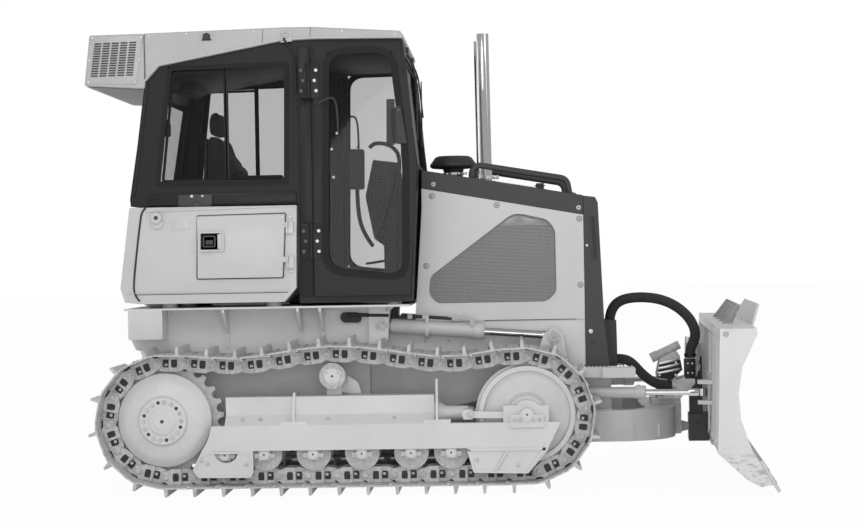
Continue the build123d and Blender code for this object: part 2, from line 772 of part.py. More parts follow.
with BuildPart() as service_door:
    add(window(service_outline, service_inner, service_outer))
    for low, high in service_hinges:
        middle = (low + high) / 2 + 1
        block(700, service_hinge_x, -(service_inner + 4), -service_outer, middle, high)
        with Locations((service_hinge_x, -service_hinge_y, (middle + high) / 2)):
            Cylinder(8, high - middle)
        with Locations((service_hinge_x, -service_hinge_y, (low + high) / 2)):
            Cylinder(4 + pin_fit, high - low + 2, mode=Mode.SUBTRACT)
    block(217, 364, -service_outer, -(service_outer + 10), 1466, 1573)
write_pair(service_door.part, "service_door")

# ---------------------------------------------------------------- inside the cab
seat_low = 1600.0
seat_side = (
    (170, seat_low), (140, 1700), (185, 1960), (171, 2233), (185, 2340), (230, 2369), (264, 2321), (262, 2200),
    (310, 2080), (403, 1965), (420, 1800), (640, 1740), (650, 1660), (600, seat_low),
)
with BuildPart() as seat:
    plate(seat_side, -240, 240)
    block(220, 560, -190, 190, sill_z + run_gap, seat_low + 1)
write(seat.part, "seat")

console_side = (
    (1187, 1788), (1247, 2000), (1390, 1956), (1400, 1750), (1380, sill_z + run_gap), (1300, sill_z + run_gap),
    (1299, 1478), (1238, 1522),
)
with BuildPart() as console:
    plate(console_side, -260, 260)
write(console.part, "console")

# ---------------------------------------------------------------- on the hood
def hood_height(x):
    """Top of the hood at a place along it."""
    (x0, z0), (x1, z1) = hood_top
    return z0 + (z1 - z0) * (x - x0) / (x1 - x0)


stack_base_x = 1948.0
stack_top = (1940.0, 2827.0)
stack_radius = 38.0
with BuildPart() as exhaust_stack:
    foot = (stack_base_x, 0, hood_height(stack_base_x) + run_gap)
    lean = Vector(stack_top[0] - foot[0], 0, stack_top[1] - foot[2])
    with BuildSketch(Plane(origin=foot, x_dir=(lean.Z, 0, -lean.X), z_dir=lean)):
        Circle(stack_radius)
    extrude(amount=lean.length)
    with BuildSketch(Plane(origin=stack_top[:1] + (0,) + stack_top[1:], x_dir=(lean.Z, 0, -lean.X), z_dir=lean)):
        Circle(stack_radius - 3)
    extrude(amount=-300, mode=Mode.SUBTRACT)
    # foot flange, cut to the hood's slope
    disc_height = 16
    with BuildSketch(Plane(origin=foot, z_dir=(hood_top[0][1] - hood_top[1][1], 0, hood_top[1][0] - hood_top[0][0]))):
        Circle(62)
    extrude(amount=disc_height)
    with BuildSketch(Plane(origin=foot, z_dir=(hood_top[0][1] - hood_top[1][1], 0, hood_top[1][0] - hood_top[0][0]))):
        Rectangle(300, 300)
    extrude(amount=-60, mode=Mode.SUBTRACT)
write(exhaust_stack.part, "exhaust_stack")

cleaner_x = 1738.0
cleaner_profile = (
    (0, 1870), (60, 1870), (60, 1944), (66, 1950), (66, 1962), (138, 1968), (151, 1980), (149, 1992), (118, 2036),
    (100, 2045), (0, 2046),
)
with BuildPart() as precleaner:
    with BuildSketch(Plane.XZ.offset(0)) as bowl:
        with BuildLine():
            Polyline(*[(cleaner_x + radius, z) for radius, z in cleaner_profile], close=True)
        make_face()
    revolve(axis=Axis((cleaner_x, 0, 0), (0, 0, 1)))
    with BuildSketch(Plane(origin=(cleaner_x, 0, hood_height(cleaner_x) + run_gap),
                           z_dir=(hood_top[0][1] - hood_top[1][1], 0, hood_top[1][0] - hood_top[0][0]))):
        Rectangle(400, 400)
    extrude(amount=-60, mode=Mode.SUBTRACT)
write(precleaner.part, "precleaner")

rail_y = 380.0
rail_radius = 19.0
rail_points = ((1862, 1890), (1862, 1975), (2452, 1872), (2466, 1785))
with BuildPart() as handrails:
    with BuildLine(side_plane(-rail_y)) as rail_path:
        FilletPolyline(*[(x, z) for x, z in rail_points], radius=55)
    with BuildSketch(Plane(origin=rail_path.line @ 0, z_dir=rail_path.line % 0)):
        Circle(rail_radius)
    sweep()
    with BuildSketch(Plane(origin=(1862, -rail_y, hood_height(1862) + run_gap),
                           z_dir=(hood_top[0][1] - hood_top[1][1], 0, hood_top[1][0] - hood_top[0][0]))):
        Rectangle(3000, 600)
    extrude(amount=-120, mode=Mode.SUBTRACT)
    mirror(about=Plane.XZ)
write(handrails.part, "handrails")

# ================================================================ push frame
arm_low = 252.0
arm_high = 442.0
nose_rear_x = 2905.0  # clears the radiator guard as the frame rises
ear_gap = 38.0  # half of the space between an upright's two plates
ear_thickness = 12.0
ear_outline = (
    (2170, arm_high - 2), (2240, 780), (2290, 920), (2352, 962), (2408, 920), (2424, 780), (2500, arm_high - 2),
)
eye_half = 28.0
angle_pin = 15.0
lug_half = 36.0  # half of the space between the angle cylinder's two lugs
with BuildPart() as c_frame:
    with BuildSketch(Plane.XY.offset(arm_low)):
        with BuildLine() as plan:
            outer_line = Line((trunnion_x, -arm_y - arm_width / 2), (2770, -arm_y - arm_width / 2))
            outer_arc = ThreePointArc(outer_line @ 1, (3005, -440), (3110, -125))
            front = Polyline(outer_arc @ 1, (3161, -95), (3161, 0))
            inner_edge = Line((nose_rear_x, 0), (nose_rear_x, -200))
            inner_arc = ThreePointArc(inner_edge @ 1, (nose_rear_x - 19, -392), (2820, -arm_y + arm_width / 2))
            Polyline(inner_arc @ 1, (trunnion_x, -arm_y + arm_width / 2), outer_line @ 0)
            Line((3161, 0), (nose_rear_x, 0))
        make_face()
    extrude(amount=arm_high - arm_low)
    disc(trunnion_x, trunnion_z, -arm_y + arm_width / 2, -arm_y - arm_width / 2, (arm_high - arm_low) / 2)
    disc(trunnion_x, trunnion_z, -arm_y + arm_width, -arm_y - arm_width, 45 + pin_fit, mode=Mode.SUBTRACT)
    for inner, outer in ((ear_gap, ear_gap + ear_thickness), (-ear_gap - ear_thickness, -ear_gap)):
        plate(ear_outline, -(arm_y + inner), -(arm_y + outer))
    # bosses at the lift cylinder's eye
    for inner, outer in ((eye_half + 1.5, ear_gap + ear_thickness + 8), (-ear_gap - ear_thickness, -eye_half - 1.5)):
        disc(lift_eye[0], lift_eye[1], -(arm_y + inner), -(arm_y + outer), 44)
    # way out for the angle cylinder
    block(2352, 2520, -arm_y, -(arm_y + 60), angle_z - 62, angle_z + 62, mode=Mode.SUBTRACT)
    for low, high in ((angle_z - lug_half - 14, angle_z - lug_half), (angle_z + lug_half, angle_z + lug_half + 14)):
        block(2270, angle_base_x + 24, -(arm_y - ear_gap - 1), -(arm_y + ear_gap + 1), low, high)
    with Locations((angle_base_x, -angle_base_y, angle_z)):
        Cylinder(angle_pin, 2 * lug_half + 2)
    mirror(about=Plane.XZ)
    # tower on the nose, and the ball's neck
    block(2974, 3158, -110, 110, arm_high - 1, tower_top)
    with BuildSketch(cross_plane(3150)):
        with Locations((0, ball_z)):
            Circle(42)
    with BuildSketch(cross_plane(3212)):
        with Locations((0, ball_z)):
            Circle(25)
    loft()
    with BuildSketch(cross_plane(3211)):
        with Locations((0, ball_z)):
            Circle(25)
    extrude(amount=ball_x - 3211)
    with Locations((ball_x, 0, ball_z)):
        Sphere(ball_radius)
write(c_frame.part, "c_frame")

# ---------------------------------------------------------------- serrated steps over the angle cylinders
step_rear = 2505.0  # ahead of the uprights
step_front = 2841.0
step_track = 2640.0  # ahead of the chain: the outer skirt starts here
step_top = 712.0
tooth_pitch = 24.0
tooth_depth = 9.0
step_sheet = 6.0
step_deck = 662.0
step_skirt = 646.0  # clears the angle cylinder as the blade tilts
arm_inner_y = arm_y - arm_width / 2
step_outer_y = 606.0


def serrated(x_from, x_to, z_low, y_from, y_to):
    """Upright strip with saw teeth along its top."""
    count = round((x_to - x_from) / tooth_pitch)
    pitch = (x_to - x_from) / count
    points = [(x_from, z_low)]
    for i in range(count):
        points += [(x_from + i * pitch, step_top - tooth_depth), (x_from + (i + 0.5) * pitch, step_top)]
    points += [(x_to, step_top - tooth_depth), (x_to, z_low)]
    plate(points, y_from, y_to)


with BuildPart() as angle_steps:
    with BuildSketch(Plane.XY.offset(step_deck)):
        with BuildLine():
            Polyline(
                (step_rear, -arm_inner_y), (step_rear, -562), (step_track, -562), (step_track, -step_outer_y),
                (step_front, -step_outer_y - step_sheet), (step_front, -arm_inner_y), close=True,
            )
        make_face()
    extrude(amount=step_sheet)
    serrated(step_track, step_front, step_skirt, -step_outer_y, -step_outer_y - step_sheet)
    serrated(step_rear, step_track + 2, step_skirt, -556, -562)
    serrated(step_rear, step_front, step_deck, -500, -500 - step_sheet)
    serrated(step_rear, step_front, step_deck, -arm_inner_y, -arm_inner_y - step_sheet)
    block(step_track, step_track + step_sheet, -556, -step_outer_y - 1, step_skirt, step_top - tooth_depth)
    block(step_front - step_sheet, step_front, -arm_inner_y, -step_outer_y - 1, step_skirt, step_top - tooth_depth)
    # leg and foot on the push arm, inside the cylinder
    block(step_rear, 2700, -arm_inner_y, -arm_inner_y - step_sheet, arm_high + run_gap, step_deck + 1)
    block(step_rear, 2700, -arm_inner_y, -arm_inner_y - 78, arm_high + run_gap, arm_high + 8)
    mirror(about=Plane.XZ)
write(angle_steps.part, "angle_steps")

# ---------------------------------------------------------------- hose manifold on the tower
manifold_half = 46.0
swivel_radius = 27.0
swivel = ((2984.0, 727.0), (3164.0, 812.0))  # ends of the leaning tube
with BuildPart() as hose_manifold:
    plate(
        ((3010, tower_top + run_gap), (3010, 520), (3026, 560), (3012, 630), (3034, 726), (3140, 776), (3164, 740),
         (3164, 650), (3130, 590), (3140, 520), (3150, tower_top + run_gap)),
        -manifold_half,
        manifold_half,
    )
    lean = Vector(swivel[1][0] - swivel[0][0], 0, swivel[1][1] - swivel[0][1])
    for along, length, radius in ((0, 46, swivel_radius + 4), (0, lean.length, swivel_radius)):
        with BuildSketch(Plane(origin=(swivel[0][0], 0, swivel[0][1]), x_dir=(0, 1, 0), z_dir=lean)):
            Circle(radius)
        extrude(amount=length)
    # foot on the tower and the block beside it that takes the hoses
    block(3010, 3150, hose_y - 27, manifold_half + 10, tower_top + run_gap, tower_top + 14)
    plate(
        ((3050, tower_top + run_gap), (3150, tower_top + run_gap), (3244, 570), (3244, hose_block_top - run_gap),
         (3184, hose_block_top - run_gap), (3184, 620), (3122, 590), (3122, 530), (3050, 510)),
        hose_y - 27,
        hose_y + 27,
    )
    with BuildSketch(cross_plane(lower_hose_points[-1][0] + run_gap)):
        with Locations((hose_y, lower_hose_points[-1][1])):
            Circle(24)
    extrude(amount=30)
write(hose_manifold.part, "hose_manifold")

# ---------------------------------------------------------------- hoses from the radiator guard to the manifold


def hose(points):
    """Sleeved hose bundle: straight runs joined by arcs as large as the runs allow."""
    places = [Vector(x, hose_y, z) for x, z in points]
    runs = [b - a for a, b in zip(places, places[1:])]
    radii = []
    for before, after in zip(runs, runs[1:]):
        half_turn = math.radians(before.get_angle(after)) / 2
        radii.append(0.45 * min(before.length, after.length) / math.tan(half_turn))
    print("hose arcs:", [round(radius) for radius in radii])
    with BuildLine() as route:
        FilletPolyline(*places, radius=radii)
    with BuildSketch(Plane(origin=route.line @ 0, z_dir=route.line % 0)) as section:
        Circle(hose_radius)
    sweep(sections=section.sketch, path=route.line)


for points, name in ((upper_hose_points, "upper_hose"), (lower_hose_points, "lower_hose")):
    with BuildPart() as bundle:
        hose(points)
    write(bundle.part, name)


# ---------------------------------------------------------------- cylinders
def ram_axis(base, eye, pin):
    """Plane at the base pin: sketch x runs to the rod's eye and the plane faces along the pins."""
    return Plane(origin=base, x_dir=Vector(*eye) - Vector(*base), z_dir=pin)


def ram_ring(axis, along, radius, half, hole):
    """Eye on a cylinder's line, with its hole along the pins."""
    with BuildSketch(Plane(origin=axis.from_local_coords((along, 0, -half)), x_dir=axis.x_dir, z_dir=axis.z_dir)) as ring:
        Circle(radius)
    extrude(ring.sketch, amount=2 * half)
    with BuildSketch(Plane(origin=axis.from_local_coords((along, 0, -half)), x_dir=axis.x_dir, z_dir=axis.z_dir)) as bore:
        Circle(hole)
    extrude(bore.sketch, amount=2 * half, mode=Mode.SUBTRACT)


def ram_turn(axis, profile, mode=Mode.ADD):
    """Round body on a cylinder's line, from a profile of (distance from the base pin, radius)."""
    with BuildSketch(axis) as section:
        with BuildLine():
            Polyline(*profile, close=True)
        make_face()
    revolve(section.sketch, axis=Axis(axis.origin, axis.x_dir), mode=mode)


def barrel_profile(start, head, radius, bore, rod, cap=40, gland=60):
    """Cylinder barrel with its end cap, gland and hollow."""
    return (
        (start, 0), (start, radius - 6), (start + 10, radius), (head - 70, radius), (head - 66, radius + 5),
        (head - 4, radius + 5), (head, radius + 1), (head, rod + pin_fit), (head - gland, rod + pin_fit),
        (head - gland, bore), (start + cap, bore), (start + cap, 0),
    )


def rod_profile(piston, length, bore, rod, end):
    """Piston and rod up to the eye's shank."""
    return (
        (piston, 0), (piston, bore - pin_fit), (piston + length, bore - pin_fit), (piston + length, rod), (end, rod),
        (end, 0),
    )


def ram_length(base, eye):
    """Distance between a cylinder's two pins."""
    return (Vector(*eye) - Vector(*base)).length


lift_radius = 46.0
lift_bore = 38.0
lift_rod_radius = 24.0
base_3d = (lift_base[0], -arm_y, lift_base[1])
eye_3d = (lift_eye[0], -arm_y, lift_eye[1])
lift_axis = ram_axis(base_3d, eye_3d, (0, -1, 0))
lift_span = ram_length(base_3d, eye_3d)
lift_head = 630.0
with BuildPart() as lift_barrel:
    ram_turn(lift_axis, barrel_profile(52, lift_head, lift_radius, lift_bore, lift_rod_radius))
    ram_turn(lift_axis, ((20, 0), (20, 26), (60, 34), (60, 0)))
    ram_ring(lift_axis, 0, 44, 30, lift_pin + pin_fit)
write_pair(lift_barrel.part, "lift_barrel")

with BuildPart() as lift_rod:
    ram_turn(lift_axis, rod_profile(320, 50, lift_bore, lift_rod_radius, lift_span - 40))
    ram_turn(lift_axis, ((lift_span - 72, 0), (lift_span - 72, 27), (lift_span - 20, 27), (lift_span - 20, 0)))
    ram_ring(lift_axis, lift_span, 44, eye_half, lift_pin + 3)
write_pair(lift_rod.part, "lift_rod")

swing = math.radians(blade_yaw)


def on_blade(x, y, z):
    """Where a point of the straight blade lies with the blade at its angle."""
    reach = x - ball_x
    return (
        ball_x + reach * math.cos(swing) - y * math.sin(swing),
        reach * math.sin(swing) + y * math.cos(swing),
        z,
    )


angle_radius = 34.0
angle_bore = 27.0
angle_rod_radius = 19.0
angle_head = 574.0
cross_pin = 10.0
for side, label, piston in ((-1, "right", 257), (1, "left", 328)):
    base_3d = (angle_base_x, side * angle_base_y, angle_z)
    eye_3d = on_blade(angle_eye_x, side * angle_eye_y, angle_z)
    angle_axis = ram_axis(base_3d, eye_3d, (0, 0, 1))
    across = Plane(origin=base_3d, x_dir=angle_axis.x_dir, z_dir=angle_axis.y_dir)
    angle_span = ram_length(base_3d, eye_3d)
    with BuildPart() as angle_cross:
        with Locations(base_3d):
            Cylinder(22, 2 * lug_half - 1)
        with BuildSketch(across.offset(-35)):
            Circle(cross_pin)
        extrude(amount=70)
        with Locations(base_3d):
            Cylinder(angle_pin + pin_fit, 2 * lug_half, mode=Mode.SUBTRACT)
    write(angle_cross.part, f"angle_cross_{label}")

    with BuildPart() as angle_barrel:
        ram_turn(angle_axis, barrel_profile(44, angle_head, angle_radius, angle_bore, angle_rod_radius, 16, 20))
        with BuildSketch(across.offset(-33)):
            with Locations((22, 0)):
                SlotOverall(80, 36)
        extrude(amount=66)
        with BuildSketch(across.offset(-24)):
            with Locations((0, 0)):
                Rectangle(62, 80)
        extrude(amount=48, mode=Mode.SUBTRACT)
        with BuildSketch(across.offset(-40)):
            Circle(cross_pin + pin_fit)
        extrude(amount=80, mode=Mode.SUBTRACT)
    write(angle_barrel.part, f"angle_barrel_{label}")

    with BuildPart() as angle_rod:
        ram_turn(angle_axis, rod_profile(piston, 30, angle_bore, angle_rod_radius, angle_span - 30))
        ram_turn(angle_axis, ((angle_span - 88, 0), (angle_span - 88, 24), (angle_span - 20, 24), (angle_span - 20, 0)))
        ram_ring(angle_axis, angle_span, 31, 22, 19)
    write(angle_rod.part, f"angle_rod_{label}")

# ================================================================ ball block, tilt cylinder and blade
turn_blade = Location((ball_x, 0, 0), (0, 0, blade_yaw)) * Location((-ball_x, 0, 0))
block_front = 3339.0
tilt_pin_radius = 40.0
tilt_x = 3262.0
tilt_base = (-30.0, 700.0)
tilt_eye = (560.0, 800.0)
tilt_ear = 30.0
with BuildPart() as ball_block:
    block(3214, block_front, -85, 85, 201, 374)
    with BuildSketch(cross_plane(block_front - 1)):
        with Locations((0, ball_z)):
            Circle(tilt_pin_radius)
    extrude(amount=22)
    # post with two ears for the tilt cylinder
    block(3222, 3306, -48, 48, 373, 640)
    for low, high in ((3222, 3222 + 12), (3306 - 12, 3306)):
        with BuildSketch(cross_plane(low)):
            with BuildLine():
                Polyline((-48, 639), (-62, 690), (-52, 735), (-8, 735), (20, 690), (48, 639), close=True)
            make_face()
        extrude(amount=high - low)
    with BuildSketch(cross_plane(3233)):
        with Locations(tilt_base):
            Circle(16)
    extrude(amount=62)
    # socket, and the slot that the neck swings in
    with Locations((ball_x, 0, ball_z)):
        Sphere(ball_radius + 0.1, mode=Mode.SUBTRACT)
    with BuildSketch(Plane.XY.offset(ball_z - 29)):
        with BuildLine():
            Polyline((ball_x, -26), (3260, -40), (3200, -70), (3200, 70), (3260, 40), (ball_x, 26), close=True)
        make_face()
    extrude(amount=58, mode=Mode.SUBTRACT)
write(ball_block.part, "ball_block", turn_blade)

tilt_base_3d = (tilt_x, *tilt_base)
tilt_eye_3d = (tilt_x, *tilt_eye)
tilt_axis = ram_axis(tilt_base_3d, tilt_eye_3d, (1, 0, 0))
tilt_span = ram_length(tilt_base_3d, tilt_eye_3d)
with BuildPart() as tilt_barrel:
    ram_turn(tilt_axis, barrel_profile(66, 400, 36, 29, 20))
    ram_turn(tilt_axis, ((20, 0), (20, 22), (70, 22), (70, 0)))
    ram_ring(tilt_axis, 0, 32, 24, 16 + pin_fit)
write(tilt_barrel.part, "tilt_barrel", turn_blade)

with BuildPart() as tilt_rod:
    ram_turn(tilt_axis, rod_profile(220, 50, 29, 20, tilt_span - 30))
    ram_ring(tilt_axis, tilt_span, 32, 24, 19)
write(tilt_rod.part, "tilt_rod", turn_blade)

board_thickness = 20.0
board_centre = (4096.0, 572.0)
board_radius = 646.0
board_top = 940.0
board_bend = 285.0
edge_angle = 60.0  # slope of the straight lower part
rib_y = (170, 545, 655, 900, 1120)
rib_rear = ((3345, 900), (3336, 470), (3330, 262), (3440, 152))


def board_point(z, depth=0.0):
    """Point on the moldboard's curve at a height, set back by a depth."""
    radius = board_radius + depth
    return (board_centre[0] - math.sqrt(radius**2 - (z - board_centre[1]) ** 2), z)


low_end = board_point(board_bend)
slope = (math.cos(math.radians(edge_angle)), -math.sin(math.radians(edge_angle)))
low_tip = (low_end[0] + 236 * slope[0], low_end[1] + 236 * slope[1])
back = (slope[1] * board_thickness, -slope[0] * board_thickness)

with BuildPart() as blade:
    with BuildSketch(side_plane(-blade_half)):
        with BuildLine():
            front_arc = ThreePointArc(board_point(board_top), board_point(600), board_point(board_bend))
            Polyline(front_arc @ 1, low_tip, (low_tip[0] + back[0], low_tip[1] + back[1]),
                     board_point(board_bend - 8, board_thickness))
            back_arc = ThreePointArc(
                board_point(board_bend - 8, board_thickness),
                board_point(600, board_thickness),
                board_point(board_top, board_thickness),
            )
            Line(back_arc @ 1, front_arc @ 0)
        make_face()
    extrude(amount=-blade_width)
    # spill guard over the middle
    top_front = board_point(board_top)
    with BuildSketch(Plane(origin=(top_front[0] - 1, 0, board_top - 12), x_dir=(0, 1, 0), z_dir=(0.907, 0, -0.421))):
        with BuildLine():
            Polyline((-820, 0), (820, 0), (820, 28), (560, 166), (-560, 166), (-820, 28), close=True)
        make_face()
    extrude(amount=-14)
    # top and bottom boxes
    plate(((3350, 905), (3352, 965), (top_front[0] - 4, 965), (top_front[0] - 18, 905)), -blade_half, blade_half)
    plate(((3330, 262), (3440, 152), (3520, 180), (low_end[0] - 14, 300), (3345, 300)), -blade_half, blade_half)
    end_rear = [(3350, 920), (3330, 256), (3443, 151), (3498, 102), (3570, 66)]
    for y_from, y_to in ((-blade_half, -blade_half + 25), (blade_half - 25, blade_half)):
        plate(
            [(3358, 968), *end_rear, low_tip, board_point(board_bend), board_point(450), board_point(600),
             board_point(750), board_point(board_top)],
            y_from,
            y_to,
        )
        disc(3384, 934, y_from, y_to, 17, mode=Mode.SUBTRACT)
    for y in rib_y:
        for side in (-1, 1):
            plate(
                [*rib_rear, board_point(200, 6), board_point(board_bend, 6), board_point(450, 6), board_point(600, 6),
                 board_point(750, 6), board_point(900, 6)],
                side * y - 9,
                side * y + 9,
            )
    # recess and mounting plate at the ball block
    block(3200, block_front + 4, -103, 103, ball_z - 106, ball_z + 106, mode=Mode.SUBTRACT)
    block(block_front + 4, 3372, -330, 330, 200, 640)
    with BuildSketch(cross_plane(block_front)):
        with Locations((0, ball_z)):
            Circle(tilt_pin_radius + pin_fit)
    extrude(amount=60, mode=Mode.SUBTRACT)
    # clevises of the angle cylinders
    for side in (-1, 1):
        for low, high in ((angle_z - 73, angle_z - 50), (angle_z + 50, angle_z + 73)):
            with BuildSketch(Plane.XY.offset(low)):
                with BuildLine():
                    Polyline((3380, side * 545), (angle_eye_x, side * (angle_eye_y - 38)),
                             (angle_eye_x - 30, side * (angle_eye_y - 20)), (angle_eye_x - 30, side * (angle_eye_y + 20)),
                             (angle_eye_x, side * (angle_eye_y + 38)), (3380, side * 655), close=True)
                make_face()
            extrude(amount=high - low)
    # ears of the tilt cylinder
    for x_from, x_to in ((tilt_x - 40, tilt_x - 28), (tilt_x + 28, tilt_x + 40)):
        with BuildSketch(cross_plane(x_from)):
            with BuildLine():
                Polyline((524, 800), (545, 836), (575, 836), (620, 780), (620, 700), (540, 700), close=True)
            make_face()
        extrude(amount=x_to - x_from)
    block(tilt_x - 40, 3380, 600, 664, 690, 790)
write(blade.part, "blade", turn_blade)

edge_from = 80.0
edge_to = 290.0
forward = (-slope[1] * 20, slope[0] * 20)
edge_points = []
for along, lift in ((edge_from, 0), (edge_to, 0), (edge_to, 1), (edge_from + 12, 1)):
    edge_points.append((
        low_end[0] + slope[0] * along + forward[0] * lift - slope[1] * run_gap,
        low_end[1] + slope[1] * along + forward[1] * lift + slope[0] * run_gap,
    ))
with BuildPart() as cutting_edge:
    plate(edge_points, -blade_half, blade_half)
write(cutting_edge.part, "cutting_edge", turn_blade)
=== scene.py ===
import json
import math

import bmesh
import bpy
from bpy.props import FloatProperty, FloatVectorProperty, PointerProperty
from mathutils import Matrix, Vector
from mathutils.bvhtree import BVHTree

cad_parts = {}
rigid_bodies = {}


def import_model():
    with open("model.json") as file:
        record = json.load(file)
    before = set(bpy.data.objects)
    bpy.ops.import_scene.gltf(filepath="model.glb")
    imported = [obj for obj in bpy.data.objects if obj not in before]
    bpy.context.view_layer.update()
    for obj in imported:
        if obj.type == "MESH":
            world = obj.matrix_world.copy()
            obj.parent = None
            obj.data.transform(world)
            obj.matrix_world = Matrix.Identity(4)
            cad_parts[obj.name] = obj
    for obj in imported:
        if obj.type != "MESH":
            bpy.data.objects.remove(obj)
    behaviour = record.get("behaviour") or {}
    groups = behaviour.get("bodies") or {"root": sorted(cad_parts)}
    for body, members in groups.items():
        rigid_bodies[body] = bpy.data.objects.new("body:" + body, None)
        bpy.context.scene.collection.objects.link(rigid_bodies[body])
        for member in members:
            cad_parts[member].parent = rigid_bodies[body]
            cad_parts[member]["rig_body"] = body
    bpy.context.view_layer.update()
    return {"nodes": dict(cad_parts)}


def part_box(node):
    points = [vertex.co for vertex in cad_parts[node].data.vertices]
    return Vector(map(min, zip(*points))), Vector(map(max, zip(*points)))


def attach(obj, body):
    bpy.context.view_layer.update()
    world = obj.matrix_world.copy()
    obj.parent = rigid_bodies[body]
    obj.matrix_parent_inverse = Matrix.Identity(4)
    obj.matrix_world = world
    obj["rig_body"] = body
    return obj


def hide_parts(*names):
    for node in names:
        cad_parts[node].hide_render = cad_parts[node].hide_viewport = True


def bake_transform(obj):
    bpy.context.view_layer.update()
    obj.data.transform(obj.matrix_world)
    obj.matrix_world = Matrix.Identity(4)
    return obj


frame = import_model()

bl_info = {
    "name": "Crawler Dozer",
    "version": (1, 0, 0),
    "blender": (4, 5, 0),
    "location": "3D View > Sidebar > Dozer",
    "description": "Dresses a crawler dozer with its track chains, cab, sheet metal, blade and hoses",
    "category": "Object",
}

DRIVE_LOW, DRIVE_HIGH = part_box("final_drives")
DRIVE_X = (DRIVE_LOW.x + DRIVE_HIGH.x) / 2  # the sprocket's centre: every X below is measured from it
DRIVE_Z = (DRIVE_LOW.z + DRIVE_HIGH.z) / 2
TRACK_Y = (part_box("track_left")[0].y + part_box("track_left")[1].y) / 2
SIDES = {"right": -1, "left": 1}
BLADE_TURN = Matrix.Rotation(math.radians(-3.4), 4, "Z")


def at(x, y, z):
    """A point from millimetres: X from the sprocket, Y to the left, Z from the ground."""
    return Vector((x / 1000 + DRIVE_X, y / 1000, z / 1000))


OUT, UP = (0, -1, 0), (0, 0, 1)  # away from the right-hand side, and upwards
BALL = at(3275, 0, 290)
HOOD_Y, FRAME_Y = -440, -930  # right-hand faces of the hood's panels and of the track frame
LIFT_PIPE_Y, HOSE_Y = -530, -145
DRIVE_BOLTS = 114  # radius of the final drive's circle of bolts
STACK_X, DRAIN_X, CLEANER_X = 1954, 1906, 1738  # exhaust stack, thinner pipe and air cleaner
HOOD_BACK, HOOD_FRONT = (1550, 1941), (2548, 1767)  # ends of the hood's top edge, as X and Z
STRIP_RIBS, RIB_PITCH = 46, 9.2  # ribbed strips on the hood
LOUVRE_ROWS, LOUVRE_COLUMNS = 14, 5  # slots in the roof's rear panel
EDGE_BOLTS = 18  # in each row of the cutting edge
HINGE_Z = (1660, 1622, 1366, 1330)  # bolts of a service door's hinges
ROLLER_X = (367, 604, 897, 1188, 1482, 1721)


def through(*points):
    """Places from points in millimetres."""
    return [at(*point) for point in points]


def in_plane(y, *pairs):
    """Places from X and Z pairs in one upright plane."""
    return [at(x, y, z) for x, z in pairs]


def on_blade(x, y, z):
    """A point that is drawn on the straight blade, turned with it about the ball."""
    return BALL + BLADE_TURN @ (at(x, y, z) - BALL)


# ---------------------------------------------------------------- sizes and colours that a user may change
def size(name, description, default):
    return FloatProperty(name=name, description=description, default=default, unit="LENGTH", min=0)


def tone(name, description, grey):
    return FloatVectorProperty(name=name, description=description, default=(grey, grey, grey),
        subtype="COLOR", min=0, max=1)


class DozerPaint(bpy.types.PropertyGroup):
    """Colours of the machine's finishes"""
    pale: tone("Pale paint", "Body panels, fenders, roof and undercarriage", 0.57)
    blade: tone("Blade paint", "Moldboard and end plates", 0.68)
    dark: tone("Dark paint", "Hood band, radiator guard and rails", 0.050)
    black: tone("Black paint", "Cab posts and doors", 0.012)
    cast: tone("Painted castings", "Track links, sprockets and rollers", 0.55)
    rubber: tone("Rubber", "Gaskets and pipes", 0.022)
    glass: tone("Glass tint", "Light that the cab glass lets through", 0.82)
    soft_edge: size("Softened edges", "Width of the rounding on sheet metal edges", 0.0025)


class DozerTrack(bpy.types.PropertyGroup):
    """Sizes of one track shoe"""
    sole: size("Sole depth", "From the pins out to the shoe's sole", 0.057)
    grouser: size("Grouser", "Height of the bar over the sole", 0.047)
    width: size("Shoe width", "Width of a shoe", 0.406)


class DozerStage(bpy.types.PropertyGroup):
    """Camera, floor and light"""
    lens: FloatProperty(name="Lens", description="Focal length in millimetres on a 36 mm sensor",
                        default=75.8)
    floor: tone("Floor", "Floor and backdrop", 0.90)
    key: FloatProperty(name="Key light", description="Strength of the large front light", default=150)
    sky: FloatProperty(name="Sky", description="Strength of the light from all round", default=0.62)
    shine: FloatProperty(name="Shine", description="Strength of the surroundings in reflections",
                         default=0.55)


# ---------------------------------------------------------------- finishes
class Socket:
    """A shader value that Python operators work on."""

    def __init__(self, finish, link):
        self.finish, self.link = finish, link

    def math(self, operation, *values):
        return self.finish.node("ShaderNodeMath", {"operation": operation},
            dict(enumerate((self, *values))))

    def __add__(self, other):
        return self.math("ADD", other)

    __radd__ = __add__

    def __sub__(self, other):
        return self.math("SUBTRACT", other)

    def __rsub__(self, other):
        return self.math("MULTIPLY", -1.0).math("ADD", other)

    def __mul__(self, other):
        return self.math("MULTIPLY", other)

    __rmul__ = __mul__

    def __truediv__(self, other):
        return self.math("DIVIDE", other)

    def step(self, low, high):
        """0 below low, 1 above high and smooth between."""
        return self.finish.node("ShaderNodeMapRange", {"interpolation_type": "SMOOTHSTEP"},
            {0: self, 1: low, 2: high, 3: 0.0, 4: 1.0})


FINISHES = {}


